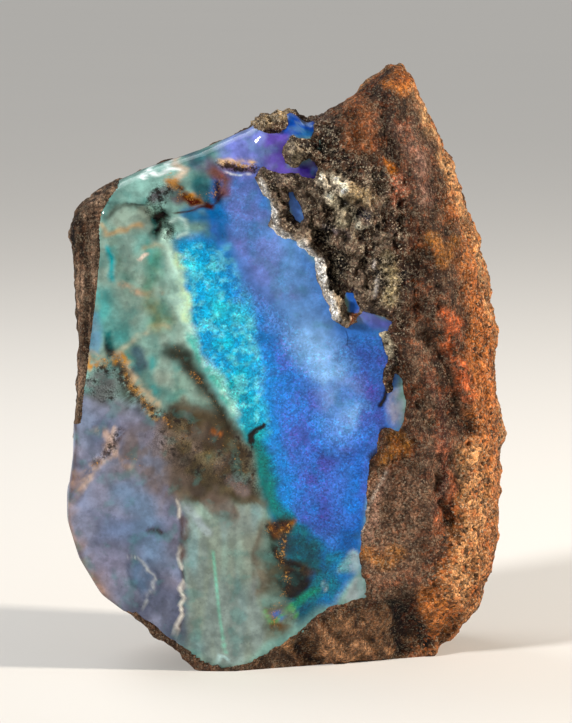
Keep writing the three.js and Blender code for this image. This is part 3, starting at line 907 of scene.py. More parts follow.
OPAL_LEFT = (
    Stroke("beige vein", (188, 154, 108), ((100, 222), (108, 232), (124, 229), (140, 227)), 2.4, 6),
    Stroke("lower beige vein", (172, 158, 124), ((140, 250), (152, 246), (168, 248)), 2, 7, 0.75,
           patchy=0.6),
    Stroke("cream spot", (220, 200, 184), ((140, 260), (143, 257)), 2.4, 3, 1),
    Stroke("cyan streak", (20, 150, 158), ((109, 248), (113, 260), (114, 278)), 2.6, 6, 1, ragged=7),
    Stroke("beige wisps", (184, 146, 116), ((120, 284), (132, 292), (148, 296), (160, 292)), 2.4, 8,
           patchy=0.9),
    Stroke("fringe", (182, 218, 202), (
        (164, 240), (170, 262), (174, 296), (190, 326), (202, 352), (218, 382), (230, 406),
    ), 5, 14, 1, ragged=16, spots=13),
    Stroke("yellow-green fringe", (190, 214, 164), ((178, 248), (175, 286), (184, 310)), 4, 12,
           ragged=21, patchy=0.8),
    Stroke("sea-green fringe", (36, 160, 148), ((192, 326), (208, 362), (226, 402)), 5, 12,
           ragged=21, patchy=0.7),
    Patch("blue patch", (84, 126, 156), ((90, 310), (102, 308), (106, 330), (102, 354), (86, 352)), 0, 8),
    Patch("dark spot", (26, 16, 20), (
        (106, 331), (112, 329), (115, 345), (117, 357), (108, 358), (105, 346),
    ), 0, 5, 1, ragged=4, patchy=0.2, spots=5),
    Stroke("pale seam", (182, 166, 138), ((124, 350), (138, 338), (156, 330), (168, 326)), 2, 7, patchy=0.7),
    Stroke("slate of the middle", (54, 78, 94), ((138, 354), (142, 366), (136, 376)), 7, 9),
    Stroke("teal of the middle", (52, 134, 134), ((153, 358), (152, 376), (156, 392)), 4, 8, patchy=0.5),
    Stroke("dark band", (30, 30, 24), (
        (166, 352), (184, 354), (198, 376), (210, 396), (220, 414), (228, 432),
    ), 6, 16, 1),
    Stroke("rust below the band", (150, 86, 40), ((213, 432), (219, 434)), 2.5, 5,
           ragged=4, patchy=1, spots=3),
    Stroke("smoky field's lilac", (106, 94, 92), ((232, 478), (242, 488)), 8, 8, patchy=0.5),
    Stroke("smoky field's dark", (48, 38, 30), ((170, 414), (180, 415), (187, 422), (190, 434)), 1.6, 5, 1,
           ragged=4, patchy=0.5, spots=5),
    Stroke("brown skin of the edge", (70, 52, 40), (
        (76, 396), (77, 440), (76, 466), (71, 486), (68, 510), (73, 540), (86, 568), (106, 596), (134, 619),
    ), 1.4, 5, ragged=4),
    Stroke("blue heart of the lavender", (98, 122, 150), ((124, 494), (146, 514), (150, 552)), 13, 24),
    Stroke("slate foot", (74, 80, 100), ((130, 616), (160, 598), (174, 600), (176, 640)), 12, 22),
    Stroke("cream of the vein", (190, 166, 134), (
        (84, 352), (104, 362), (120, 360), (128, 382), (146, 394), (156, 404),
    ), 5, 9, ragged=15, patchy=1, spots=8, sparse=0.1),
    Stroke("brown of the vein", (44, 32, 22), (
        (98, 366), (116, 368), (124, 384), (128, 402), (150, 412), (172, 416),
    ), 7, 10, ragged=15, patchy=1, spots=7),
    Stroke("gold of the vein", (176, 122, 46), (
        (82, 350), (92, 362), (108, 366), (124, 362), (126, 380), (140, 404), (158, 420),
    ), 3.5, 7, 1, ragged=15, patchy=1, spots=5, sparse=0.15),
    Stroke("pink vein", (188, 164, 150), ((76, 484), (92, 470), (106, 456), (114, 444), (108, 434)), 5, 9,
           ragged=17, patchy=1, spots=5, sparse=0.05),
    Stroke("dark of the pink vein", (66, 52, 50), ((98, 462), (110, 446), (122, 434)), 4, 8,
           patchy=1, spots=5, sparse=0.15),
    Stroke("brown dash", (56, 44, 50), ((149, 531), (156, 529), (165, 534)), 2.4, 4, 1,
           ragged=6, patchy=0.5, spots=5),
    Patch("ring figure's pool", (78, 102, 130), (
        (134, 562), (144, 562), (150, 574), (148, 590), (140, 594), (134, 584),
    ), 0, 6, ragged=12),
    Stroke("ring figure", (186, 190, 188), (
        (129, 562), (138, 557), (147, 564), (153, 578), (149, 592), (141, 599),
    ), 0.7, 3, 1, ragged=14, patchy=0.6, spots=6),
    Stroke("ring figure's shade", (58, 68, 88), (
        (132, 568), (134, 584), (144, 600), (156, 588), (157, 572), (148, 558),
    ), 2, 7, ragged=14, patchy=0.6),
    Stroke("teal potch", (48, 148, 148), ((103, 296), (110, 316), (120, 338)), 10, 16, 0.75,
           spots=(7, 7, 16)),
    Stroke("green potch", (62, 118, 96), ((155, 256), (152, 272), (148, 290)), 6, 12, 0.7),
    Stroke("khaki potch", (124, 132, 92), ((150, 304), (166, 316), (160, 326)), 7, 14, 0.7),
    Stroke("dark band's foot", (48, 38, 30), ((226, 428), (240, 450), (254, 472)), 3, 12, 0.8, patchy=0.5),
    Patch("dark band's head", (42, 48, 42), (
        (162, 345), (186, 342), (197, 358), (205, 378), (194, 384), (182, 366), (168, 358),
    ), 0, 12),
    Patch("grey of the left potch", (100, 98, 100), (
        (82, 374), (96, 368), (112, 372), (118, 388), (112, 402), (92, 404), (80, 396),
    ), 0, 16, ragged=14, patchy=0.5),
    Patch("warm side of the lavender", (106, 92, 86), (
        (128, 428), (158, 420), (180, 440), (184, 506), (162, 512), (140, 484), (118, 468),
    ), 0, 22, 0.75, ragged=21, patchy=0.6),
    Stroke("tan wash of the edge", (158, 124, 102), (
        (76, 470), (70, 500), (74, 540), (92, 578), (112, 602),
    ), 5, 14, 0.6, ragged=16, patchy=1, spots=12),
    Stroke("pink vein's fork", (176, 150, 138), ((100, 430), (110, 440), (116, 452), (130, 464)), 3, 8,
           ragged=14, patchy=1, spots=5, sparse=0.05),
)
OPAL_FOOT = (
    Stroke("pale squares", (148, 162, 168), ((188, 510), (196, 518), (208, 532)), 4, 5,
           ragged=4, patchy=0.6),
    Stroke("brown veil", (98, 84, 76), ((212, 500), (222, 508), (228, 512)), 9, 7),
    Stroke("mint streak", (112, 206, 176), ((213, 552), (216, 580), (219, 612), (225, 652)), 0.8, 3.5,
           ragged=0.5, spots=(30, 30, 60)),
    Stroke("drop", (160, 192, 192), (
        (217, 662), (220, 656), (226, 657), (229, 662), (226, 667), (220, 667), (217, 662),
    ), 1, 2, ragged=1),
    Stroke("white vein's shade", (60, 46, 40), (
        (179, 504), (181, 526), (181, 546), (181, 568), (182, 582), (181, 612), (178, 640),
    ), 1.6, 4, ragged=4, patchy=0.5),
    Stroke("white vein", (214, 208, 196), (
        (182, 581), (178, 590), (182, 597), (179, 606), (180, 616), (177, 628), (177, 641),
    ), 1.3, 3, 1, ragged=5, patchy=0.5),
    Patch("green haze of the blots", (30, 38, 26), (
        (266, 520), (296, 520), (288, 540), (282, 556), (306, 566), (310, 590), (292, 604), (274, 600),
        (266, 560),
    ), 0, 14, 0.8, ragged=10),
    Patch("olive haze of the blots", (70, 56, 36), (
        (262, 552), (272, 562), (276, 580), (272, 598), (260, 576),
    ), 0, 12, 0.7, ragged=14, patchy=0.6, spots=6),
    Patch("upper blot", (40, 28, 12), (
        (266, 524), (280, 521), (292, 521), (292, 530), (284, 540), (270, 540),
    ), 0, 7, 1, ragged=5, spots=5),
    Stroke("ochre of the blot", (124, 76, 26), ((268, 524), (276, 536), (286, 530), (294, 523)), 2.2, 5, 0.9,
           patchy=1, spots=4),
    Stroke("pale outlier", (130, 144, 140), ((324, 582), (325, 591)), 1.4, 3, ragged=2),
    Patch("motley", (92, 92, 78), ((264, 604), (290, 606), (298, 618), (286, 636), (266, 640)), 0, 10, 1),
    Stroke("motley blue", (60, 98, 180), ((277, 614), (281, 617)), 3, 4),
    Stroke("motley green", (80, 156, 84), ((267, 612), (272, 624), (290, 608), (298, 616)), 1.6, 4,
           patchy=0.8, spots=5),
    Stroke("motley brown", (88, 58, 18), ((274, 626), (280, 628)), 3.4, 4, 1),
    Stroke("comma", (4, 4, 6), ((252, 441), (251, 434), (256, 428), (264, 425)), 2.4, 3, 1,
           ragged=3, patchy=0),
    # painted shadow: the thin dark line that the crust's tip casts on the opal below it
    Stroke("crack", (40, 58, 100), ((346, 331), (348, 338), (347, 345)), 0.5, 1.4, ragged=0.5),
    Stroke("white vein's head", (206, 200, 190), ((178, 502), (180, 509), (178, 517)), 1.3, 3, 1, ragged=4),
    Stroke("white vein's middle", (214, 210, 200), ((181, 548), (178, 556), (181, 567)), 1.4, 3, 1,
           ragged=4),
    Stroke("comma's thick end", (4, 4, 6), ((251, 440), (251, 435)), 3.4, 3, 1, ragged=3, patchy=0),
    Patch("brown of the blots", (62, 42, 18), (
        (274, 560), (290, 562), (308, 562), (318, 570), (306, 578), (282, 578),
    ), 0, 8, ragged=8, patchy=0.5, spots=6),
    Stroke("teal in the blots", (0, 62, 72), ((284, 544), (298, 546), (312, 556)), 9, 12, 0.9, spots=6),
    Stroke("black arc", (12, 9, 5), ((271, 545), (275, 557), (283, 564), (298, 567)), 2.6, 5, 1,
           ragged=6, spots=5),
    Patch("black of the blots", (5, 3, 2), (
        (276, 583), (282, 573), (297, 572), (312, 578), (308, 591), (298, 601), (285, 600),
    ), 0, 6, 1, ragged=6, spots=5),
    Stroke("emerald of the foot", (12, 116, 84), ((288, 608), (302, 602), (316, 592)), 4, 7, 0.75,
           ragged=6, patchy=0.9, spots=5),
    Stroke("brown beside the white vein", (88, 66, 60), ((182, 520), (186, 530), (182, 556)), 2.6, 6, 0.8,
           ragged=6, patchy=0.7, spots=6),
)
OPAL_RIGHT = (
    Patch("milky lens", (150, 148, 166), (
        (392, 394), (399, 390), (402, 404), (401, 418), (394, 430), (389, 420), (388, 408),
    ), 0, 11, ragged=8, patchy=0.5, spots=(5, 5, 9)),
    # painted shade: black where deep holes in the stone lie in shadow
    Stroke("black pits", (8, 4, 4), ((391, 378), (387, 390), (385, 400), (380, 407)), 2.6, 4, 1,
           ragged=5, patchy=0.5, spots=5),
    Stroke("windows", (78, 122, 206), ((292, 190), (300, 216)), 8, 6, 1),
    Stroke("lower window", (50, 100, 190), ((350, 292), (355, 306)), 6, 6, 1),
    Stroke("lower dark edge", (30, 26, 28), ((384, 432), (384, 448), (372, 458)), 4, 5, 1,
           ragged=5, patchy=0.5),
    Stroke("upper lilac edge", (90, 92, 170), ((362, 312), (380, 322), (392, 330)), 6, 8),
)

# Clouds inside the opal, each in spots of its own
POTCH = (
    (104, 206), (150, 200), (176, 236), (172, 290), (196, 350), (216, 402), (176, 404), (140, 372),
    (90, 352), (92, 300),
)
LAVENDER = (
    (60, 400), (120, 400), (160, 424), (172, 484), (182, 506), (182, 642), (138, 640), (80, 600),
    (50, 540), (54, 470),
)
SMOKE = (
    (158, 420), (176, 406), (222, 418), (244, 446), (262, 500), (178, 502), (166, 480),
)
COLUMN = (
    (184, 504), (262, 504), (250, 556), (268, 636), (246, 662), (214, 662), (184, 648),
)
CYAN = (
    (172, 240), (232, 246), (256, 330), (272, 430), (250, 440), (214, 390), (180, 310),
)
HEART = (
    (276, 352), (322, 386), (382, 352), (380, 450), (352, 526), (300, 520), (282, 440),
)
OPAL_TOE = (
    (280, 512), (300, 524), (326, 552), (352, 556), (350, 580), (330, 606), (286, 606),
)
OPAL_CLOUDS = (
    cloud("sea clouds", (40, 150, 144), POTCH, 20, 0.9, -0.05),
    cloud("beige clouds", (172, 154, 128), POTCH, 20, 0.4),
    cloud("dark clouds", (60, 88, 78), POTCH, 28, 0.5),
    cloud("pale clouds", (152, 178, 168), POTCH, (15, 15, 30), 0.5),
    cloud("blue clouds", (92, 120, 160), LAVENDER, 40, 0.6),
    cloud("mauve clouds", (138, 122, 134), LAVENDER, 36, 0.5),
    cloud("slate clouds", (80, 88, 108), LAVENDER, 26, 0.5),
    cloud("light clouds", (138, 146, 168), LAVENDER, 30, 0.35),
    cloud("light smoke", (112, 98, 88), SMOKE, 15, 0.6),
    cloud("olive smoke", (92, 84, 50), SMOKE, 11, 0.5),
    cloud("dark smoke", (44, 36, 30), SMOKE, 17, 0.6),
    cloud("pale threads of the column", (150, 176, 164), COLUMN, (9, 13, 70), 0.5, soft=6),
    cloud("blue threads of the column", (104, 140, 156), COLUMN, (12, 13, 60), 0.45, soft=6),
    cloud("dun threads of the column", (116, 114, 102), COLUMN, (15, 13, 60), 0.5, soft=6),
    cloud("green-cyan patches", (56, 204, 190), CYAN, 16, 0.36, 0.1),
    cloud("deep patches", (6, 116, 184), CYAN, 24, 0.4),
    cloud("pale flecks", (130, 226, 220), CYAN, 7, 0.35, 0.3, soft=10),
    cloud("lilac patches", (120, 112, 184), (
        (218, 176), (262, 180), (276, 240), (300, 300), (270, 300), (232, 240),
    ), 16, 0.35),
    cloud("violet patches", (84, 72, 170), HEART, 17, 0.35),
    cloud("azure patches", (40, 116, 200), HEART, 20, 0.45),
    cloud("blue glints of the foot", (10, 100, 160), OPAL_TOE, 13, 0.45, soft=10),
    cloud("green glints of the foot", (8, 104, 78), OPAL_TOE, 10, 0.45, soft=10),
)

# Where the opal has its fire, where its haze and a painted sheen dim it, and where it is violet
FIRE = (
    Patch("fire of the body", None, (
        (176, 240), (205, 236), (262, 300), (320, 340), (392, 330), (384, 440), (364, 520), (340, 600),
        (290, 620), (286, 540), (262, 470), (236, 420), (196, 340),
    ), 0, 20, 1),
    Stroke("fire of the crown", None, ((232, 190), (262, 240), (310, 290)), 24, 30, 0.55),
)
HAZE_AND_SHEEN = Stroke("haze", None, ((282, 232), (294, 270), (308, 312), (326, 362), (340, 402)), 18, 40, 0.7)
VIOLET_FIRE = (
    Stroke("violet middle", None, ((272, 352), (286, 388), (300, 430), (312, 476), (316, 514)), 18, 26, 1),
    Stroke("violet right", None, ((380, 340), (376, 380), (366, 440)), 12, 22),
    Stroke("violet top", None, ((262, 130), (290, 160), (316, 172)), 14, 18, 0.6),
)

# Where golden and rusty iron specks gather in the opal, and where black ones do
IRON = (
    Stroke("vein", None, (
        (80, 348), (96, 362), (124, 360), (126, 380), (142, 402), (156, 416), (168, 424),
    ), 5, 14, 0.5),
    Stroke("garden", None, ((170, 178), (182, 194), (198, 202), (212, 196), (222, 182)), 6, 14, 0.4),
    Stroke("band's spots", None, ((194, 374), (199, 381)), 4, 6, 0.6, ragged=3),
    Stroke("band's dust", None, ((176, 350), (204, 392), (230, 440), (246, 480)), 6, 16, 0.2),
    Stroke("pink vein's dust", None, ((80, 478), (108, 452), (132, 456), (150, 474)), 5, 12, 0.22),
    Stroke("smoky field's dust", None, ((176, 430), (208, 446), (236, 478)), 16, 20, 0.16),
    Stroke("blots and motley", None, (
        (268, 528), (288, 526), (282, 540), (276, 556), (284, 584), (276, 622),
    ), 5, 12, 0.5),
    Stroke("tan crust", None, ((220, 162), (236, 161), (252, 164)), 3, 6, 0.5),
)
SOOT = (
    Stroke("garden", None, ((166, 192), (154, 208), (160, 220), (168, 232)), 8, 12, 0.5),
    Stroke("vein's shade", None, ((96, 368), (118, 376), (134, 396), (154, 414), (186, 422)), 5, 10, 0.5),
    Stroke("left potch", None, ((82, 376), (96, 390), (110, 392)), 7, 12, 0.5),
    Stroke("smoky field", None, ((168, 440), (196, 462), (240, 470)), 18, 20, 0.32),
    Stroke("smoky field's edge", None, ((236, 440), (250, 462), (258, 488)), 4, 8, 0.6),
    Stroke("pink vein", None, ((98, 458), (110, 448), (118, 434)), 4, 8, 0.42),
    Stroke("blots", None, (
        (268, 530), (288, 527), (273, 552), (284, 564), (306, 572), (302, 588), (288, 592),
    ), 5, 9, 0.5),
    Stroke("comma", None, ((252, 446), (250, 436), (264, 425)), 2, 3, ragged=2),
    Stroke("tan crust", None, ((218, 163), (236, 165), (254, 168)), 3, 6, 0.8),
)
LUMPY_TOP = Patch("unpolished top", None, (
    (240, 128), (264, 126), (300, 118), (322, 124), (322, 184), (262, 178), (256, 160),
), 0, 8, 1)

# Colours of the stone's front
STONE_GROUND = (88, 65, 51)
STONE_BACK = (146, 102, 64)
STONE_LEFT = (96, 78, 63)
UNDERSIDE = (
    (240, 668), (312, 622), (350, 604), (372, 600), (414, 606), (436, 640), (405, 662), (300, 672),
)
STONE_MARKS = (
    Stroke("dark waist", (72, 49, 38), ((408, 190), (414, 300), (410, 440)), 26, 30),
    Stroke("grey waist", (108, 84, 68), ((424, 330), (428, 400), (430, 470)), 10, 20,
           patchy=0.8, spots=(14, 14, 50)),
    Stroke("dark brow", (60, 43, 37), ((384, 96), (396, 128), (386, 160)), 10, 18),
    Stroke("mauve slope", (142, 106, 92), ((404, 132), (416, 150), (430, 196)), 9, 16, patchy=0.8, spots=6),
    Patch("dark crust", (104, 87, 73), (
        (256, 160), (322, 170), (380, 176), (392, 262), (392, 328), (342, 342), (300, 262), (262, 214),
    ), 0, 14, 1, patchy=0.1),
    Stroke("brown crust", (70, 52, 42), ((344, 160), (356, 174), (374, 172)), 9, 12),
    Stroke("cream crag", (255, 238, 210), ((326, 182), (338, 187), (332, 198)), 9, 8, 1,
           ragged=4, patchy=0.1),
    Stroke("grey crumbs", (164, 156, 130), ((334, 204), (350, 214), (344, 226)), 9, 10, patchy=0.7),
    Stroke("golden slab", (158, 136, 100), ((352, 192), (368, 196)), 9, 8, patchy=0.6),
    Stroke("pale ring", (176, 176, 160), ((354, 216), (360, 227), (374, 224)), 3, 6, patchy=0.5),
    Stroke("blue pit", (28, 34, 50), ((361, 211), (367, 216)), 5, 5, 1),
    # painted shade: the gully and the hollow behind the ledge's rim, near black where they lie in shadow
    Stroke("black gully", (20, 13, 11), ((272, 182), (284, 202), (292, 226)), 4, 7, 1,
           patchy=0.5, spots=(6, 6, 16)),
    Stroke("black hollow", (18, 11, 9), ((322, 236), (330, 250), (337, 264), (334, 284)), 8, 8, 1),
    Stroke("lilac ridge", (184, 170, 178), ((322, 228), (334, 233), (346, 233)), 1.6, 4),
    Stroke("white ridge", (222, 214, 210), ((373, 262), (376, 280), (378, 300)), 1.4, 4, patchy=0.5),
    Stroke("buff slab", (168, 152, 114), ((388, 264), (396, 284), (392, 300)), 8, 9, patchy=0.5),
    Stroke("ledge's crumbs", (204, 180, 148), ((330, 296), (338, 312), (346, 322)), 6, 8, patchy=0.5),
    Stroke("rusty tip", (180, 94, 34), ((352, 324), (356, 316)), 3, 5),
    # partly the ledge's pale edge, partly a painted highlight on its left-facing wall
    Stroke("white rim", (255, 248, 238), (
        (261, 182), (267, 196), (273, 208), (274, 222), (273, 229), (284, 236), (300, 243), (309, 251),
        (317, 260), (322, 276), (330, 300), (339, 318),
    ), 3.4, 4, 1, ragged=3, patchy=0.1),
    Stroke("top bump", (146, 124, 90), ((262, 122), (276, 116), (290, 114)), 6, 6),
    Stroke("cream knob", (172, 158, 132), ((290, 144), (300, 150), (296, 160)), 8, 7, patchy=0.5),
    Stroke("dark saddle", (38, 32, 26), ((308, 146), (318, 146), (332, 144)), 6, 8),
    Stroke("orange brow", (138, 84, 52), ((357, 104), (362, 130), (370, 142), (350, 142)), 12, 14, 1,
           patchy=0.6, spots=6),
    Stroke("orange spot", (214, 126, 44), ((384, 160), (388, 168)), 4, 7, 1),
    Stroke("red crag", (176, 104, 76), ((396, 178), (402, 186), (398, 198)), 7, 10, patchy=0.5),
    Stroke("peak", (150, 86, 38), ((382, 72), (398, 66), (406, 80)), 9, 12),
    Stroke("peak's orange", (206, 124, 56), ((384, 80), (404, 90)), 4, 8, patchy=0.8),
    Stroke("peak's shade", (42, 29, 20), ((360, 90), (372, 74), (384, 67)), 6, 9),
    Patch("rind", (150, 92, 50), (
        (404, 52), (414, 90), (428, 118), (438, 150), (448, 190), (456, 240), (462, 290), (464, 330),
        (462, 362), (474, 400), (476, 430), (466, 470), (454, 500), (448, 540), (438, 580), (430, 620),
        (412, 650), (520, 660), (520, 40),
    ), 0, 12, 1, ragged=22),
    # painted highlight: the rim light along the stone's right edge
    Stroke("pale brink", (214, 166, 114), (
        (412, 90), (436, 140), (460, 200), (480, 260), (490, 320),
    ), 4, 10, 0.75, patchy=0.6),
    Stroke("orange waist", (176, 104, 52), ((474, 300), (484, 350), (486, 410)), 12, 20, 0.7, patchy=0.6),
    Stroke("pale foot", (204, 154, 104), ((474, 460), (476, 540), (458, 600)), 14, 24, 0.6, patchy=0.6),
    Stroke("golden crags", (178, 116, 56), ((432, 240), (440, 262), (452, 246)), 7, 12, patchy=0.7),
    Stroke("middle red stain", (208, 104, 58), (
        (442, 316), (456, 328), (450, 342), (460, 366), (468, 392),
    ), 5.5, 10, ragged=12, patchy=1, spots=5),
    Stroke("lower red stain", (196, 112, 74), (
        (442, 440), (440, 462), (456, 488), (438, 508), (436, 530),
    ), 5, 10, ragged=12, patchy=0.8, spots=6),
    # painted shade in the rind's gullies and pit; the maroon gully is partly its own colour
    Stroke("dark of the brink", (50, 29, 20), (
        (462, 322), (468, 350), (440, 352), (452, 400), (468, 438),
    ), 5, 10, ragged=12, patchy=0.6),
    Stroke("maroon gully", (78, 48, 42), ((430, 380), (444, 402), (442, 480), (430, 508)), 6, 10,
           patchy=0.5),
    Stroke("dark pit", (44, 28, 20), ((446, 506), (450, 524)), 5, 7),
    Stroke("orange foot", (192, 116, 56), ((424, 600), (444, 610), (430, 630)), 9, 14, patchy=0.6),
    Stroke("ochre patch", (170, 110, 46), ((394, 438), (404, 448), (384, 460)), 7, 12, patchy=0.5),
    Patch("smooth hollow", (102, 76, 60), (
        (372, 470), (400, 462), (430, 480), (426, 560), (400, 584), (372, 584), (362, 530),
    ), 0, 14, 1),
    Stroke("hollow's rose streaks", (136, 106, 92), ((388, 474), (378, 504), (370, 540)), 4, 10,
           patchy=0.8, spots=(6, 8, 40)),
    Stroke("hollow's ochre foot", (138, 90, 46), ((366, 556), (384, 562), (400, 552)), 6, 10),
    # painted highlight: the thin light line where the hollow's raised left edge catches the light
    Stroke("hollow's white line", (222, 208, 194), ((388, 470), (376, 492), (368, 510), (362, 536)), 0.6, 3,
           ragged=3, patchy=0.6),
    Stroke("rim below", (50, 31, 25), ((380, 448), (370, 462), (366, 480)), 2.5, 4, ragged=4),
    # partly cream stone, partly a painted highlight on the rock's lit left rim
    Stroke("cream wedge", (210, 198, 168), ((382, 334), (390, 344), (388, 354)), 4, 5, 1,
           ragged=4, patchy=0.5),
    Patch("underside", (92, 68, 50), UNDERSIDE, 0, 8, 1),
    Stroke("underside's tan edge", (176, 128, 88), ((286, 644), (330, 654), (400, 650)), 5, 10,
           patchy=1, spots=(8, 8, 40)),
    Stroke("underside's orange", (206, 128, 60), ((304, 646), (308, 656)), 4, 6, 1),
    Stroke("underside's dark", (44, 30, 22), ((402, 612), (412, 630)), 5, 9, patchy=0.5),
    Patch("pale striae of the left skin", (156, 126, 104), (
        (70, 200), (84, 186), (106, 180), (104, 230), (98, 300), (88, 380), (72, 400), (66, 300),
    ), 0, 6, 0.8, patchy=1, spots=(2.4, 6, 44)),
    Patch("dark striae of the left skin", (48, 36, 28), (
        (66, 200), (84, 182), (108, 178), (105, 230), (99, 300), (88, 390), (70, 410), (64, 300),
    ), 0, 6, 0.8, patchy=1, spots=(3, 6, 50)),
    # painted shade and light on the underside's flutes: dark grooves and pale crests, over their own browns
    Patch("dark flutes", (38, 25, 17), (
        (290, 650), (334, 608), (420, 596), (420, 640), (390, 664), (300, 668),
    ), 0, 8, 0.9, patchy=1, spots=(2.6, 6, 30)),
    Patch("pale flutes", (144, 104, 73), (
        (290, 650), (334, 612), (412, 604), (412, 640), (380, 660), (300, 668),
    ), 0, 8, 0.6, patchy=1, spots=(2.2, 6, 26)),
)

# Small forms of the rough front: a line in the view, its half width there, and its height in mm
FRONT_CRAGS = (
    (((324, 180), (340, 190)), 9, 1.5),
    (((276, 184), (286, 206), (296, 228)), 5, -1.6),
    (((312, 186), (308, 212), (316, 232)), 5, -1.4),
    (((320, 236), (330, 254), (334, 284)), 7, -2.4),
    (((322, 229), (346, 233)), 3, 1.0),
    (((350, 190), (368, 196)), 7, 1.2),
    (((354, 216), (360, 228), (374, 224)), 4, 1.0),
    (((362, 212), (366, 216)), 4, -1.8),
    (((384, 264), (394, 290)), 8, 1.2),
    (((364, 264), (370, 286)), 4, -1.4),
    (((292, 146), (300, 152)), 8, 1),
    (((310, 147), (330, 145)), 6, -1.2),
    (((352, 100), (368, 136)), 8, 1.0),
    (((362, 92), (372, 76)), 7, -1),
    (((384, 106), (390, 150)), 7, -1.2),
    (((404, 210), (410, 260), (414, 310)), 5, -0.9),
    (((432, 240), (440, 262)), 8, 1.2),
    (((444, 322), (456, 336), (464, 370)), 8, 1.8),
    (((432, 340), (446, 360), (456, 400)), 7, -1.5),
    (((464, 440), (472, 420)), 7, -1.3),
    (((444, 446), (452, 470)), 7, 1.3),
    (((438, 480), (436, 500)), 5, -1.6),
    (((446, 506), (450, 522)), 6, -2),
    (((388, 470), (370, 500), (360, 545)), 3, 0.9),
    (((362, 572), (382, 586), (404, 586)), 5, 0.9),
    (((410, 598), (420, 610)), 6, -1.6),
    (((428, 594), (440, 606)), 6, 1.3),
)

# Where the stone has each kind of grain
RIND = Patch("rind", None, (
    (398, 48), (406, 84), (420, 112), (436, 150), (448, 190), (458, 240), (464, 300), (470, 360), (474, 410),
    (462, 450), (450, 490), (442, 520), (434, 560), (428, 600), (408, 650), (530, 670), (530, 30),
), 0, 24, 1, ragged=14)
CRUST = Patch("crust", None, (
    (250, 100), (330, 112), (352, 160), (404, 178), (410, 262), (404, 330), (392, 390), (376, 396),
    (384, 350), (356, 334), (330, 326), (296, 262), (256, 214), (254, 160),
), 0, 16, 1, ragged=6)
SMOOTH_STONE = Patch("hollow", None, (
    (368, 476), (400, 466), (424, 484), (420, 574), (372, 578), (362, 530),
), 0, 14, 1)
FLUTES = Patch("underside", None, UNDERSIDE, 0, 8, 1)


def fine_angles(steps: int, dense: float, gain: float) -> Array:
    """Directions round the axis, closer together about one of them: u - gain sin(u - dense).

    Args:
        steps: How many.
        dense: The direction with the most, in radians.
        gain: From 0, even, to 1.

    Returns:
        The directions in radians, in order.
    """
    even = np.arange(steps) * TURN / steps
    return even - gain * np.sin(even - dense)


def ray_reach(angle: Array, outline: Line, farthest: bool) -> Array:
    """How far a ray from the axis goes to meet an outline, the last or the first time it does.

    Args:
        angle: The ray's directions.
        outline: Corners in order.
        farthest: The last meeting, and not the first.

    Returns:
        A distance in mm for each direction.
    """
    corners = np.array(outline) - (AXIS_X, AXIS_Z)
    ax, az = corners[:, :1], corners[:, 1:]
    sx, sz = np.roll(ax, -1, axis=0) - ax, np.roll(az, -1, axis=0) - az
    dx, dz = np.cos(angle), np.sin(angle)
    share = -(ax * dz - az * dx) / (sx * dz - sz * dx + 1e-12)
    reach = (ax + share * sx) * dx + (az + share * sz) * dz
    meets = (share >= 0) & (share <= 1) & (reach > 0)
    if farthest:
        return np.where(meets, reach, 0.0).max(axis=0)
    return np.where(meets, reach, np.inf).min(axis=0)


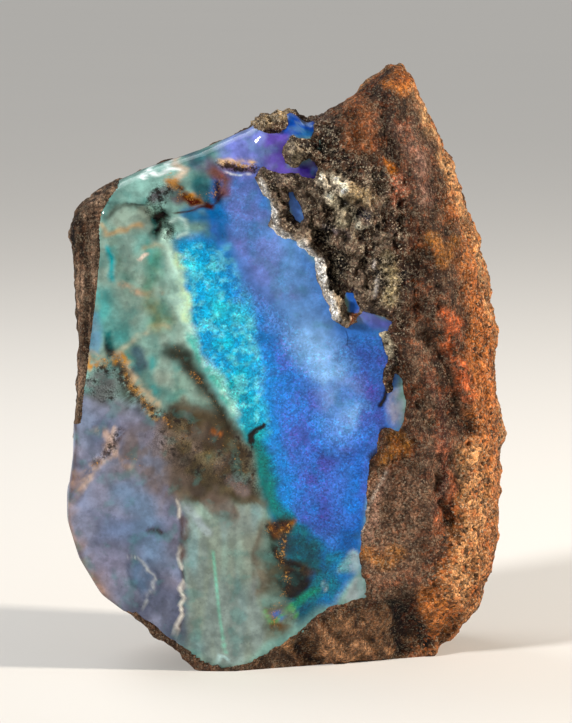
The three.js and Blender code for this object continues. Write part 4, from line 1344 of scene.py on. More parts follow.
@dataclass
class OpalSeam:
    """The seam of precious opal and the potch round it, polished to the block's face."""

    block: Block
    shift: Array  # from the block's millimetres to the frame's
    steps: int = 560  # points round the axis
    dense: float = math.pi  # the direction where they are closest, in radians
    crowding: float = 0.45  # how much closer they are there
    halvings: int = 40  # to find its edge
    face_rings: int = 158
    wall_rings: int = 6  # down the hidden wall
    back_rings: int = 8  # over the hidden back
    overlap: float = 1.6  # how far the opal goes on out of sight, in mm
    sink: float = 0.7  # how far it lies below the stone's skin there, in mm
    dive: float = 5.0  # how much farther down it goes well inside the stone, in mm
    taper: float = 0.04  # how much smaller its hidden back is
    veil: float = 0.014  # the light that the gloss adds to every colour, so the colours leave it out

    def _edge_path(self, rib: Rib) -> Array:
        """The path at which each direction leaves the seam, by halving the span again and again.

        Args:
            rib: The form in each direction.

        Returns:
            One path for each direction.
        """
        edge = ray_reach(rib.angle, SEAM, farthest=True) + self.overlap
        low, high = np.zeros(len(edge)), np.full(len(edge), 1.5)
        for _ in range(self.halvings):
            middle = (low + high) / 2
            points, _ = self.block.skin(rib, middle)
            radius = np.hypot(points[:, 0] - AXIS_X, points[:, 2] - AXIS_Z)
            past = (radius > edge) | (points[:, 1] > SEAM_BACK + self.overlap) | (middle > 1.45)
            low, high = np.where(past, low, middle), np.where(past, middle, high)
        return neighbours(neighbours(low, 9).max(axis=0), 7).mean(axis=0)

    def _face(self, rib: Rib) -> Array:
        """The polished face: the skin, lowered where stone covers it, with faint waves of the polish.

        Args:
            rib: The form in each direction.

        Returns:
            Rings of places in mm.
        """
        path = np.linspace(0, 1, self.face_rings)[:, None] * self._edge_path(rib)
        points, _ = self.block.skin(rib, path)
        height = 0.05 * Noise(51).rough(points, 17.0, 2)
        height += 0.5 * Canvas(points, 53).cover(LUMPY_TOP) * Noise(52).rough(points, 4.2, 3)
        outside = above_seam(points)
        inwards = np.array(BLOCK_MIDDLE) - points
        inwards /= np.linalg.norm(inwards, axis=-1, keepdims=True)
        depth = self.sink * ramp(outside, 0.0, 1.0) + self.dive * ramp(outside, 1.5, 5.0)
        height *= 1.0 - ramp(outside, -1.0, 0.0)
        face = points + normals_of(points) * height[..., None] + inwards * depth[..., None]
        face[..., 2] = np.maximum(face[..., 2], 0.1)
        return face

    def _hidden(self, face: Array) -> Array:
        """The wall straight back from the face's edge, and the flat back that closes the seam.

        Args:
            face: The polished face's rings.

        Returns:
            The rings that follow them.
        """
        edge = face[-1]
        middle = np.array([AXIS_X, SEAM_BACK + self.overlap, AXIS_Z])
        down = np.linspace(0, 1, self.wall_rings + 1)[1:, None, None]
        foot = edge * (1, 0, 1) + (0, SEAM_BACK + self.overlap, 0)
        foot = foot + self.taper * (middle - foot)
        wall = edge + (foot - edge) * down
        inwards = np.linspace(0, 1, self.back_rings + 1)[1:, None, None]
        back = foot + (middle - foot) * inwards
        return np.concatenate([wall, back])

    def _colours(self, canvas: Canvas, fire: Array) -> Array:
        """The opal's own colours, mark on mark, with a slow drift of light and dark.

        Args:
            canvas: The seam's surface.
            fire: How much fire each place has.

        Returns:
            Linear colours.
        """
        ground = np.broadcast_to(linear(OPAL_GROUND), canvas.points.shape)
        marks = (*OPAL_BODY, *OPAL_FIELDS, *OPAL_CLOUDS, *OPAL_TOP, *OPAL_LEFT, *OPAL_FOOT, *OPAL_RIGHT)
        colours = canvas.paint(ground, marks)
        light = 1.0 + (0.22 - 0.04 * fire) * Noise(62).rough(canvas.points, 4.5, 3)
        return np.clip(colours * light[..., None] - self.veil, 0.0, 1.0)

    def build(self, finish: "PolishedOpal") -> Object:
        """Makes the seam and dresses it.

        Args:
            finish: The polished opal.

        Returns:
            The finished piece.
        """
        face = self._face(self.block.rib(fine_angles(self.steps, self.dense, self.crowding)))
        grid = np.concatenate([face, self._hidden(face)])
        canvas = Canvas(grid, 61)
        soot = canvas.fill(SOOT)
        fire = canvas.fill(FIRE) * (1.0 - canvas.cover(HAZE_AND_SHEEN)) * (1.0 - np.minimum(2.0 * soot, 1.0))
        layers = {
            "paint": self._colours(canvas, fire),
            "fire": fire,
            "violet": np.minimum(canvas.fill(VIOLET_FIRE), fire),
            "iron": canvas.fill(IRON),
            "soot": soot,
        }
        piece = closed_mesh("opal_polished", grid, self.shift, layers)
        piece.data.materials.append(finish.material())
        return piece


@dataclass
class Boulder:
    """The ironstone block: its rough crust over the seam, its granular rind, its underside and its back."""

    block: Block
    shift: Array  # from the block's millimetres to the frame's
    steps: int = 580  # points round the axis
    dense: float = 0.2  # the direction where they are closest, in radians
    crowding: float = 0.4  # how much closer they are there
    core_rings: int = 6  # behind the opal, out of sight
    front_rings: int = 112  # from there to the girth
    back_rings: int = 50
    sink: float = 3.0  # how far the stone lies behind the opal, in mm
    cover: float = 0.35  # how deep its hollows may go where the opal runs on beneath it, in mm

    def _paths(self, rib: Rib) -> Array:
        """Where the rings lie: few behind the opal, many over the rough front, and fewer again behind.

        Args:
            rib: The form in each direction.

        Returns:
            One path for each ring and direction.
        """
        hidden = ray_reach(rib.angle, BARED, farthest=False)
        hidden = np.minimum(neighbours(hidden, 14).min(axis=0), 0.9 * rib.reach)
        hidden = neighbours(hidden, 10).mean(axis=0)
        start = np.maximum(hidden - 2.5, 1.0) / (rib.reach + rib.girth_y - FACE_Y)
        core = np.linspace(0, 1, self.core_rings, endpoint=False)[:, None] * start
        front = start + (1.0 - start) * np.linspace(0, 1, self.front_rings)[:, None]
        back = np.linspace(1, 2, self.back_rings + 1)[1:, None] * np.ones_like(start)
        return np.concatenate([core, front, back])

    @staticmethod
    def _front_swell(x: Array, z: Array, swells: tuple[tuple[Line, float, float], ...]) -> Array:
        """How far the rough front stands out: the sum of height times exp(-(distance / width)^2).

        Args:
            x: How far across each place is.
            z: How far up or down it is.
            swells: Lines, each with a width and a height.

        Returns:
            Heights in mm.
        """
        total = np.zeros_like(x)
        for line, width, height in swells:
            total += height * np.exp(-((distance_to_line(x, z, line) / width) ** 2))
        return total

    def _relief(self, points: Array, facing: Array, outside: Array) -> Array:
        """Points with the crust, its crags and the swells of the front added, cut back to the underside.

        Args:
            points: Places in mm.
            facing: How squarely each faces forward.
            outside: How far each is outside the bared opal, in mm.

        Returns:
            The moved places.
        """
        x, z = points[..., 0], points[..., 2]
        crust = ramp(z, 46, 62) * ramp(x, -14, -6)
        crag = 1.0 + 0.45 * Noise(42).rough(points, 6.0, 3)
        rise = LEDGE_HEIGHT * crust * crag * ramp(outside, 0.0, 1.7)
        rise += self._front_swell(x, z, FRONT_SWELLS) * ramp(outside, 0.0, 1.5)
        bent = [place + 8.0 * Noise(36 + k).rough(points, 5.0, 4) for k, place in enumerate(seen(points))]
        rise += self._front_swell(*bent, FRONT_CRAGS) * ramp(outside, 0.2, 1.7)
        moved = points.copy()
        moved[..., 1] -= facing * rise
        cut = plane_y(UNDERCUT, x, z)
        moved[..., 1] = np.where(facing > 0, np.maximum(moved[..., 1], cut), moved[..., 1])
        return moved

    @staticmethod
    def _grain(points: Array, zones: dict[str, Array]) -> Array:
        """The height of the stone's own roughness, in mm.

        Crust is coarse crumbs and crests, rind is sand grains on worn crags with pits, the underside has
        flutes, the hollow is smooth, and the rest has upright fibres on low crags.

        Args:
            points: Places in mm.
            zones: How far each kind of stone covers each place.

        Returns:
            Heights in mm.
        """
        broad = 0.7 * Noise(43).rough(points, 11.0, 4)
        broad += 1.3 * zones["behind"] * Noise(35).rough(points, 24.0, 2)
        crags = 1.9 * Noise(40).rough(points, (4.0, 5.0, 6.0), 4) - 0.7 * Noise(39).ridges(points, 5.0, 3)
        bent = points + 0.6 * Noise(45).rough(points, 2.0, 2)[..., None]
        gap, value = Noise(44).crumbs(bent, 2.3)
        crests = Noise(38).ridges(bent, 3.4, 3)
        crumbs = 1.2 * (0.55 - gap) + 1.1 * (value - 0.5) + 1.9 * (crests - 0.4)
        small_gap, small_value = Noise(46).crumbs(bent, 1.0)
        crumbs += 0.5 * (0.55 - small_gap) + 0.4 * (small_value - 0.5)
        grain_gap, grain_value = Noise(47).crumbs(points, 1.0)
        sand = 0.3 * (0.55 - grain_gap) - 0.4 * (grain_value < 0.12) + 0.25 * Noise(48).rough(points, 1.4, 2)
        fibres = 0.3 * Noise(49).rough(points, (1.2, 4.0, 7.0), 3)
        leant = points + points[..., 2:] * (0.5, 0.0, 0.0)
        flutes = 2.4 * Noise(50).rough(leant, (3.2, 30.0, 22.0), 2) + 0.3 * Noise(41).rough(points, 2.0, 3)
        height = broad + 0.8 * crags + fibres + 0.5 * sand
        height = blend(height, 0.5 * broad + 0.5 * fibres, zones["smooth"])
        height = blend(height, broad + crags + sand, zones["rind"])
        height = blend(height, 0.6 * broad + crumbs + 0.4 * crags, zones["crust"])
        return blend(height, flutes + 0.25 * crags, zones["flutes"])

    @staticmethod
    def _zones(canvas: Canvas) -> dict[str, Array]:
        """How far each kind of stone covers each place, from 0 to 1. Behind, all of it is rind.

        Args:
            canvas: The stone's surface.

        Returns:
            A share for each place, by the kind's name.
        """
        points = canvas.points
        behind = ramp(points[..., 1] + 3.0 * Noise(55).rough(points, 8.0, 3), -16.0, -6.0)
        right = ramp(points[..., 0], -40.0, -20.0)
        return {
            "rind": np.maximum(canvas.cover(RIND), behind * right),
            "crust": canvas.cover(CRUST) * (1.0 - behind),
            "smooth": canvas.cover(SMOOTH_STONE) * (1.0 - behind),
            "flutes": canvas.cover(FLUTES) * (1.0 - behind),
            "behind": behind,
        }

    @staticmethod
    def _colours(canvas: Canvas, zones: dict[str, Array], height: Array) -> Array:
        """The stone's colours: its marks in front, weathered ground behind, painted shade in hollows and
        light on crests.

        Args:
            canvas: The stone's surface.
            zones: How far each kind of stone covers each place.
            height: Its roughness in mm.

        Returns:
            Linear colours.
        """
        points = canvas.points
        left = 1.0 - ramp(points[..., 0], -44.0, -34.0)[..., None]
        front = blend(np.broadcast_to(linear(STONE_GROUND), points.shape), linear(STONE_LEFT), left)
        front = canvas.paint(front, STONE_MARKS)
        patches = Noise(72).rough(points, 16.0, 4)[..., None]
        back = blend(linear(STONE_BACK), linear(STONE_LEFT), np.clip(left + 0.35 - 1.4 * patches, 0, 1))
        colours = blend(front, back, zones["behind"][..., None])
        # painted shade and light: colours darker in the hollows and lighter on the crests by height, most in
        # crust and flutes
        depth = (0.42 + 0.55 * zones["crust"] + 0.6 * zones["flutes"]) * np.clip(height, -1.5, 1.4)
        streaks = 1.8 * left[..., 0] * (Noise(74).ridges(points, (1.5, 2.5, 18.0), 2) - 0.4)
        shade = 1.0 + depth + streaks + 0.3 * Noise(73).rough(points, 3.0, 4)
        return np.clip(0.9 * colours * np.clip(shade, 0.1, 2.4)[..., None] - 0.01, 0.0, 1.0)

    @staticmethod
    def _rust(points: Array, zones: dict[str, Array]) -> Array:
        """How rusty the stone is: most on the right and behind, little at the left and below.

        Args:
            points: Places in mm.
            zones: How far each kind of stone covers each place.

        Returns:
            Values from 0 to 1.
        """
        right = 0.08 + 0.24 * ramp(points[..., 0], -10.0, 20.0)
        plain = (1 - 0.7 * zones["crust"]) * (1 - 0.6 * zones["smooth"]) * (1 - 0.7 * zones["flutes"])
        return right * plain

    def build(self, finish: "RoughStone") -> Object:
        """Makes the stone and dresses it.

        Args:
            finish: The rough ironstone.

        Returns:
            The finished piece.
        """
        rib = self.block.rib(fine_angles(self.steps, self.dense, self.crowding))
        bare, facing = self.block.skin(rib, self._paths(rib))
        outside = above_seam(bare)
        points = self._relief(bare, facing, outside)
        canvas = Canvas(points, 71)
        zones = self._zones(canvas)
        height = self._grain(points, zones) * ramp(outside, 0.1, 1.3)
        room = self.cover + bare[..., 1] - points[..., 1] + 5.0 * ramp(outside, 1.8, 5.5)
        height = np.maximum(height, -np.maximum(room, 0.0)) * ramp(points[..., 2], 0.0, 0.8)
        depth = height - self.sink * ramp(-outside, 0.0, 1.5)
        grid = points + normals_of(points) * depth[..., None]
        grid[..., 2] = np.maximum(grid[..., 2], 0.0)
        layers = {
            "paint": self._colours(canvas, zones, height),
            "rind": zones["rind"],
            "crust": zones["crust"],
            "fibre": (1 - zones["rind"]) * (1 - zones["crust"]) * (1 - zones["smooth"]),
            "rust": self._rust(points, zones),
        }
        piece = closed_mesh("ironstone_rough", grid, self.shift, layers)
        piece.data.materials.append(finish.material())
        return piece


class Board:
    """A node tree, with short ways to add a node and to join it."""

    def __init__(self, tree: NodeTree) -> None:
        """Keeps the tree."""
        self.tree = tree

    def add(self, kind: str, inputs: dict | None = None, **settings: object) -> Node:
        """Adds a node.

        Args:
            kind: The node's type, without ShaderNode in front.
            inputs: A value, or an output to join, for each input by name or place.
            settings: The node's own settings.

        Returns:
            The new node.
        """
        node = self.tree.nodes.new(kind if kind.startswith("Node") else f"ShaderNode{kind}")
        for name, value in settings.items():
            setattr(node, name, value)
        self.feed(node, inputs or {})
        return node

    def feed(self, node: Node, inputs: dict) -> None:
        """Gives a node's inputs, by name or place, a value or an output to join.

        Args:
            node: The node.
            inputs: What each input gets.
        """
        for name, value in inputs.items():
            if isinstance(value, NodeSocket):
                self.tree.links.new(value, node.inputs[name])
            else:
                node.inputs[name].default_value = value

    def place(self) -> NodeSocket:
        """Places on the piece, in m."""
        return self.add("TexCoord").outputs["Object"]

    def apart(self, place: object, way: Triple) -> NodeSocket:
        """The places moved by a way in m, so that a noise there isn't the same."""
        return self.add("Mapping", {"Vector": place, "Location": way}).outputs[0]

    def attribute(self, name: str, output: str = "Fac") -> NodeSocket:
        """The value of one of the mesh's own attributes."""
        return self.add("Attribute", attribute_name=name).outputs[output]

    def math(self, operation: str, *values: object) -> NodeSocket:
        """One sum on one to three values or outputs."""
        return self.add("Math", dict(enumerate(values)), operation=operation).outputs[0]

    def times(self, *values: object) -> NodeSocket:
        """The product of two or more values or outputs.

        Args:
            values: The values or outputs.

        Returns:
            The product's output.
        """
        product = values[0]
        for value in values[1:]:
            product = self.math("MULTIPLY", product, value)
        return product

    def span(self, value: object, low: float, high: float, to_low: float = 0, to_high: float = 1) -> object:
        """A value moved smoothly from one span to another."""
        inputs = {"Value": value, "From Min": low, "From Max": high, "To Min": to_low, "To Max": to_high}
        return self.add("MapRange", inputs, interpolation_type="SMOOTHSTEP").outputs["Result"]

    def where(self, share: object, value: object, otherwise: object = 1.0) -> NodeSocket:
        """A value where share is 1, and another, or 1, where it is 0."""
        return self.add("Mix", {0: share, 2: otherwise, 3: value}).outputs[0]

    def mix(self, share: object, a: object, b: object, way: str = "MIX") -> NodeSocket:
        """Two colours mixed by a share."""
        return self.add("Mix", {0: share, 6: a, 7: b}, data_type="RGBA", blend_type=way).outputs[2]

    def scaled(self, colour: object, light: object) -> NodeSocket:
        """A colour made lighter or darker by a value."""
        grey = self.add("CombineColor", {0: light, 1: light, 2: light}).outputs[0]
        return self.mix(1.0, colour, grey, "MULTIPLY")


def new_group(name: str, inputs: dict[str, float | None], outputs: tuple[str, ...]) -> tuple:
    """A shader node group with named inputs and outputs.

    Args:
        name: The group's name.
        inputs: Each input's default, or None for a vector.
        outputs: The outputs, all numbers.

    Returns:
        The group's board, its input node and its output node.
    """
    tree = bpy.data.node_groups.new(name, "ShaderNodeTree")
    for label, default in inputs.items():
        kind = "NodeSocketVector" if default is None else "NodeSocketFloat"
        socket = tree.interface.new_socket(name=label, in_out="INPUT", socket_type=kind)
        if default is not None:
            socket.default_value = default
    for label in outputs:
        tree.interface.new_socket(name=label, in_out="OUTPUT", socket_type="NodeSocketFloat")
    board = Board(tree)
    return board, board.add("NodeGroupInput"), board.add("NodeGroupOutput")


def mottle_group() -> NodeTree:
    """Soft patches: Value goes from 0 to 1, and Length is the largest patch in mm.

    Returns:
        The group.
    """
    board, start, end = new_group("Mottle", {"Vector": None, "Length": 3.0, "Roughness": 0.6}, ("Value",))
    noise = board.add("TexNoise", {
        "Vector": start.outputs["Vector"],
        "Scale": board.math("DIVIDE", METRE, start.outputs["Length"]),
        "Detail": 4.0,
        "Roughness": start.outputs["Roughness"],
    })
    board.feed(end, {"Value": board.span(noise.outputs["Fac"], 0.28, 0.72)})
    return board.tree


def cells_group() -> NodeTree:
    """Small cells of a length in mm. Tone and Other are two random values for each, and Gap is 0 inside
    a cell and 1 on its edge.

    Returns:
        The group.
    """
    board, start, end = new_group("Cells", {"Vector": None, "Length": 0.5}, ("Tone", "Other", "Gap"))
    scale = board.math("DIVIDE", METRE, start.outputs["Length"])
    voronoi = board.add("TexVoronoi", {"Vector": start.outputs["Vector"], "Scale": scale})
    tone, other, _ = board.add("SeparateColor", {0: voronoi.outputs["Color"]}).outputs
    gap = board.span(voronoi.outputs["Distance"], 0.25, 0.75)
    board.feed(end, {"Tone": tone, "Other": other, "Gap": gap})
    return board.tree


@dataclass(frozen=True)
class Groups:
    """The effects that more than one finish uses."""

    mottle: NodeTree
    cells: NodeTree

    def mottled(self, board: Board, place: object, length: float, roughness: float = 0.6) -> object:
        """The mottle's value on a board, for patches of a length in mm."""
        inputs = {"Vector": place, "Length": length, "Roughness": roughness}
        return board.add("Group", inputs, node_tree=self.mottle).outputs["Value"]

    def celled(self, board: Board, place: object, length: float) -> object:
        """The cells' tone, other value and gap on a board, for cells of a length in mm."""
        return board.add("Group", {"Vector": place, "Length": length}, node_tree=self.cells).outputs


def new_material(name: str) -> tuple[Material, Board, Node]:
    """A material with its board and its Principled shader.

    Args:
        name: Its name.

    Returns:
        All three.
    """
    material = bpy.data.materials.new(name)
    material.use_nodes = True
    shader = material.node_tree.nodes["Principled BSDF"]
    return material, Board(material.node_tree), shader


def paint_of(colour: Triple) -> tuple[float, float, float, float]:
    """A colour up to 255 as a linear one for a socket."""
    return (*linear(colour).tolist(), 1.0)


@dataclass(frozen=True)
class PolishedOpal:
    """Polished opal: the painted body colours, pinfire in small cells, iron specks, and a clear gloss."""

    groups: Groups
    pinfire: float = 0.38  # the length of one speck of fire, in mm
    flash: float = 1.7  # the length of a cluster of specks, in mm
    speck: float = 0.55  # the length of an iron or soot speck, in mm
    cyan: Triple = (0.75, 1.4, 1.25)  # what some specks of fire are multiplied by
    magenta: Triple = (2.0, 0.85, 1.0)  # and what some are in the violet parts
    gold: Triple = (206, 150, 70)  # fresh iron specks
    rust: Triple = (98, 60, 28)  # old ones
    black: Triple = (22, 15, 11)  # soot specks
    sea: Triple = (60, 150, 146)  # the potch's sea-green clouds
    roughness: float = 0.4  # under the gloss
    specular: float = 0.05
    gloss: float = 0.7
    gloss_roughness: float = 0.07
    gloss_index: float = 1.36

    def _fire(self, board: Board, place: object, body: object) -> object:
        """The body colour with its pinfire: cells lighter and darker, and some of them cyan or magenta.

        Args:
            board: The material's board.
            place: Places on the piece.
            body: The body colour.

        Returns:
            The colour's output.
        """
        fire, violet = board.attribute("fire"), board.attribute("violet")
        speck, tint, _ = self.groups.celled(board, place, self.pinfire)
        cluster, stray, _ = self.groups.celled(board, place, self.flash)
        clouds = self.groups.mottled(board, place, 2.6)
        haze = self.groups.mottled(board, place, 1.0)
        light = board.times(
            board.span(speck, 0, 1, 0.72, 1.36),
            board.span(cluster, 0, 1, 0.9, 1.1),
            board.span(haze, 0, 1, 0.92, 1.1),
        )
        light = board.times(board.where(fire, light), board.span(clouds, 0, 1, 0.9, 1.1))
        to_cyan = board.times(board.span(tint, 0.6, 0.9), fire, board.span(haze, 0.2, 0.8))
        colour = board.mix(to_cyan, body, board.mix(1.0, body, (*self.cyan, 1.0), "MULTIPLY"))
        violet = board.math("MAXIMUM", violet, board.times(board.span(stray, 0.72, 0.9), fire, 0.6))
        to_magenta = board.times(board.span(tint, 0.42, 0.16), violet, board.span(clouds, 0.1, 0.8))
        colour = board.mix(to_magenta, colour, board.mix(1.0, body, (*self.magenta, 1.0), "MULTIPLY"))
        return board.scaled(colour, light)

    def _marbling(self, board: Board, place: object, colour: object) -> object:
        """The potch's own soft clouds: sea-green where one noise is high, and dark where another is low.

        Args:
            board: The material's board.
            place: Places on the piece.
            colour: The colour so far.

        Returns:
            The new colour's output.
        """
        potch = board.math("SUBTRACT", 1.0, board.attribute("fire"))
        wide = self.groups.mottled(board, board.apart(place, (0.07, 0.02, 0.05)), 5.0, 0.5)
        fine = self.groups.mottled(board, place, 2.4, 0.55)
        green = board.times(board.span(wide, 0.6, 1.0), potch, 0.22)
        colour = board.mix(green, colour, paint_of(self.sea))
        light = board.times(board.span(fine, 0, 1, 0.8, 1.16), board.span(wide, 1, 0, 0.86, 1.1))
        return board.scaled(colour, board.where(potch, light))

    def _inclusions(self, board: Board, place: object, colour: object) -> object:
        """Soot and iron laid over the opal where fine noise and their attribute together pass 1.

        Args:
            board: The material's board.
            place: Places on the piece.
            colour: The colour so far.

        Returns:
            The new colour's output.
        """
        soot, iron = board.attribute("soot"), board.attribute("iron")
        apart = board.apart(place, (0.03, 0.01, 0.02))
        drift = self.groups.mottled(board, apart, 3.0)
        iron = board.times(iron, board.span(drift, 0, 1, 0.45, 1.3))
        dark = self.groups.mottled(board, apart, 2.2 * self.speck)
        warm = self.groups.mottled(board, place, self.speck, 0.7)
        age, grain, _ = self.groups.celled(board, place, 0.5 * self.speck)
        share = board.math("MINIMUM", board.times(soot, 3.0), 1.0)
        colour = board.scaled(colour, board.where(share, board.span(grain, 0, 1, 0.66, 1.36)))
        cover = board.span(board.math("ADD", dark, soot), 0.85, 1.35)
        colour = board.mix(board.times(cover, 0.9), colour, paint_of(self.black))
        colour = board.mix(board.times(iron, 0.3), colour, paint_of(self.rust))
        metal = board.mix(age, paint_of(self.rust), paint_of(self.gold))
        cover = board.span(board.math("ADD", warm, iron), 0.92, 1.3)
        return board.mix(board.times(cover, 0.8), colour, metal)

    def material(self) -> Material:
        """Builds the material.

        Returns:
            The new material.
        """
        material, board, shader = new_material("precious_opal_polished")
        place = board.place()
        body = board.attribute("paint", "Color")
        colour = self._marbling(board, place, self._fire(board, place, body))
        swell = self.groups.mottled(board, place, 4.0)
        board.feed(shader, {
            "Base Color": self._inclusions(board, place, colour),
            "Normal": board.add("Bump", {"Strength": 0.25, "Distance": 0.0002, "Height": swell}).outputs[0],
            "Roughness": self.roughness,
            "Specular IOR Level": self.specular,
            "Coat Weight": self.gloss,
            "Coat Roughness": self.gloss_roughness,
            "Coat IOR": self.gloss_index,
        })
        return material


@dataclass(frozen=True)
class RoughStone:
    """Rough ironstone and sandstone: painted ground colours with grains, crumbs, fibres and pits."""

    groups: Groups
    grain: float = 0.75  # the length of a sand grain, in mm
    crumb: float = 1.1  # the length of a crumb of the crust, in mm
    cream: Triple = (226, 208, 178)  # pale crests, and sparks that are partly painted glints
    orange: Triple = (206, 112, 52)  # the rind's bright grains
    rust: Triple = (150, 76, 38)  # rusty patches
    pit: Triple = (20, 12, 9)  # pits and dark grains, with painted shade inside the pits and the crust's holes
    specular: float = 0.2

    def material(self) -> Material:
        """Builds the material: grains and fines everywhere, fibres and crumbs where the mesh says.

        Returns:
            The new material.
        """
        material, board, shader = new_material("ironstone_rough")
        place = board.place()
        rind, crust, fibre, rust = (board.attribute(name) for name in ("rind", "crust", "fibre", "rust"))
        grain, odd_grain, gap = self.groups.celled(board, place, self.grain)
        fine, odd_fine, _ = self.groups.celled(board, place, 0.45 * self.grain)
        patches = self.groups.mottled(board, place, 2.6, 0.7)
        apart = board.apart(place, (0.05, 0.02, 0.03))
        stains = self.groups.mottled(board, apart, 3.6, 0.75)
        veins = self.groups.mottled(board, apart, self.crumb)
        upright = board.add("Mapping", {"Vector": place, "Scale": (1.0, 1.0, 0.28)}).outputs[0]
        threads = self.groups.mottled(board, upright, 0.8, 0.75)

        plain = board.math("MAXIMUM", board.times(fibre, 0.6), board.times(crust, 0.4))
        tone = board.times(
            board.where(plain, 1.0, board.span(grain, 0, 1, 0.5, 1.55)),
            board.span(fine, 0, 1, 0.6, 1.44),
            board.span(patches, 0, 1, 0.72, 1.3),
            board.where(fibre, board.span(threads, 0, 1, 0.5, 1.6)),
        )
        rusty = board.times(board.span(stains, 0.5, 0.9), rust)
        ground = board.mix(rusty, board.attribute("paint", "Color"), paint_of(self.rust))
        colour = board.scaled(ground, tone)

        crest = board.span(board.math("ABSOLUTE", board.math("SUBTRACT", veins, 0.5)), 0.14, 0.02)
        pale = board.times(crest, board.span(patches, 0.3, 0.8), board.math("MULTIPLY_ADD", crust, 0.7, 0.2))
        bright = board.math("MULTIPLY_ADD", crust, 0.5, board.math("MULTIPLY_ADD", rind, 0.16, 0.18))
        # the sparks are partly cream specks and partly painted glints of light on the grains
        sparks_and_glints = board.times(board.span(odd_fine, 0.84, 0.97), bright)
        colour = board.mix(board.math("MAXIMUM", pale, sparks_and_glints), colour, paint_of(self.cream))
        orange = board.times(board.span(odd_grain, 0.8, 0.95), rind, 0.55)
        colour = board.mix(orange, colour, paint_of(self.orange))
        # painted shade: the crust's near-black holes and the rind's pits, which the bump also sinks
        dark = board.times(board.span(odd_grain, 0.3, 0.1), crust, 0.6)
        pits = board.times(board.span(odd_grain, 0.24, 0.1), rind)
        colour = board.mix(board.math("MAXIMUM", dark, board.times(pits, 0.75)), colour, paint_of(self.pit))

        height = board.math("MULTIPLY_ADD", fine, 0.4, board.times(gap, -0.5))
        height = board.math("MULTIPLY_ADD", threads, board.times(fibre, 0.8), height)
        height = board.math("MULTIPLY_ADD", crest, board.times(crust, 1.3), height)
        height = board.math("MULTIPLY_ADD", pits, -1.2, height)
        dull = board.math("MULTIPLY_ADD", crust, -0.45, 1.0)
        board.feed(shader, {
            "Base Color": colour,
            "Normal": board.add("Bump", {"Strength": 1.0, "Distance": 0.0006, "Height": height}).outputs[0],
            "Roughness": board.times(board.span(patches, 0, 1, 0.6, 0.9), dull),
            "Specular IOR Level": self.specular,
        })
        return material


@dataclass(frozen=True)
class PaleFloor:
    """A matt pale floor."""

    colour: Triple = (220, 218, 214)
    roughness: float = 0.9

    def material(self) -> Material:
        """Builds the material, with a faint mottle so that it isn't dead flat.

        Returns:
            The new material.
        """
        material, board, shader = new_material("pale_floor")
        noise = board.add("TexNoise", {"Vector": board.place(), "Scale": 3.0})
        share = board.times(noise.outputs["Fac"], 0.06)
        colour = board.mix(share, paint_of(self.colour), (0.5, 0.5, 0.5, 1))
        board.feed(shader, {"Base Color": colour, "Roughness": self.roughness})
        return material


class LampKind(Enum):
    """The two kinds of lamp in the studio."""

    DISTANT = "SUN"
    SOFTBOX = "AREA"


@dataclass(frozen=True)
class Lamp:
    """One lamp, turned to the block."""

    name: str
    kind: LampKind
    place: Triple  # where it stands, in mm from the block's foot
    size: float  # a softbox's side in mm, or how wide a distant lamp looks, in degrees
    power: float  # a softbox's watts, or a distant lamp's watts for each square metre
    colour: Triple


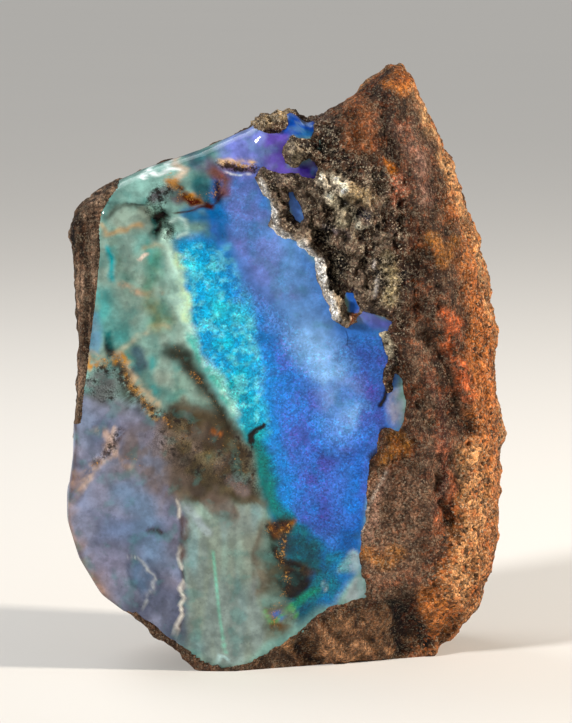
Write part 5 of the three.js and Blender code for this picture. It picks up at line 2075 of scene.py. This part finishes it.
@dataclass
class Studio:
    """A pale floor, soft lights and the camera."""

    shift: Array  # from the block's millimetres to the frame's
    frame_height: int = 723  # in view points
    floor_half: float = 15.0  # half the floor's side, in m
    aim: Triple = (0.0, 0.0, 70.0)  # what the lamps are turned to, in mm
    room_light: float = 0.16  # from all round
    backdrop_light: float = 0.42  # how bright the room looks
    lamps: tuple[Lamp, ...] = (
        Lamp("key", LampKind.DISTANT, (-620, -500, 470), 9.0, 3.2, (1.0, 0.98, 0.95)),
        Lamp("warm side", LampKind.SOFTBOX, (900, -140, 450), 90, 13.5, (1.0, 0.9, 0.78)),
        Lamp("top edge", LampKind.SOFTBOX, (-330, 260, 620), 420, 2.0, (1.0, 1.0, 1.0)),
    )

    def build_floor(self) -> None:
        """Lays a wide floor at the block's foot."""
        half = self.floor_half
        mesh = bpy.data.meshes.new("floor")
        corners = [(-half, -half, 0), (half, -half, 0), (half, half, 0), (-half, half, 0)]
        mesh.from_pydata(corners, [], [(0, 1, 2, 3)])
        floor = new_object("floor", mesh)
        mesh.materials.append(PaleFloor().material())

    def build_lights(self) -> None:
        """Hangs each lamp and turns it to the block."""
        for lamp in self.lamps:
            data = bpy.data.lights.new(lamp.name, lamp.kind.value)
            if lamp.kind is LampKind.DISTANT:
                data.angle = math.radians(lamp.size)
            else:
                data.size = lamp.size / METRE
            data.energy = lamp.power
            data.color = lamp.colour
            light = new_object(lamp.name, data)
            light.location = np.array(lamp.place) / METRE
            light.rotation_euler = self._facing(np.array(self.aim) - np.array(lamp.place))

    def build_room(self) -> None:
        """Lights the room dimly from all round, though to the camera it looks as pale as the floor."""
        world = bpy.data.worlds.new("studio")
        world.use_nodes = True
        board = Board(world.node_tree)
        is_seen = board.add("LightPath").outputs["Is Camera Ray"]
        strength = board.where(is_seen, self.backdrop_light, self.room_light)
        sky = world.node_tree.nodes["Background"]
        board.feed(sky, {"Color": (0.95, 0.97, 1.0, 1.0), "Strength": strength})
        bpy.context.scene.world = world

    @staticmethod
    def _facing(direction: Array) -> Triple:
        """The turns that point a lamp or camera along a direction: down first, then round."""
        x, y, z = direction / np.linalg.norm(direction)
        return (math.acos(-z), 0.0, math.atan2(y, x) - math.pi / 2)

    def build_camera(self) -> None:
        """Puts the camera where the view is seen from."""
        camera = bpy.data.cameras.new("camera")
        camera.sensor_width = 36.0
        camera.lens = camera.sensor_width * VIEW_DISTANCE / VIEW_POINT / self.frame_height
        camera.clip_start = 0.01
        eye = new_object("camera", camera)
        eye.location = (EYE + self.shift) / METRE
        eye.rotation_euler = self._facing(FORWARD)
        bpy.context.scene.camera = eye
        bpy.context.scene.view_settings.view_transform = "Standard"


def frame_shift() -> Array:
    """What brings the block's millimetres to the frame: the seam's right and back sides, there and here.

    Returns:
        x, y and z in mm.
    """
    _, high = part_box("opal_seam")
    right = max(x for x, _ in SEAM)
    return np.array([high[0] * METRE - right, high[1] * METRE - SEAM_BACK, 0.0])


def main() -> None:
    """Builds the specimen and its studio."""
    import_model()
    shift = frame_shift()
    LOG.info("block to frame: %s mm", shift.round(3))
    groups = Groups(mottle_group(), cells_group())
    block = Block()

    stone = Boulder(block, shift).build(RoughStone(groups))
    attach(stone, "root")
    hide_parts("ironstone_boulder")
    LOG.info("%s: %d faces", stone.name, len(stone.data.polygons))

    opal = OpalSeam(block, shift).build(PolishedOpal(groups))
    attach(opal, "root")
    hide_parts("opal_seam")
    LOG.info("%s: %d faces", opal.name, len(opal.data.polygons))

    studio = Studio(shift)
    studio.build_floor()
    studio.build_lights()
    studio.build_room()
    studio.build_camera()


if __name__ == "__main__":
    logging.basicConfig(level=logging.INFO, format="%(name)s: %(message)s")
    main()
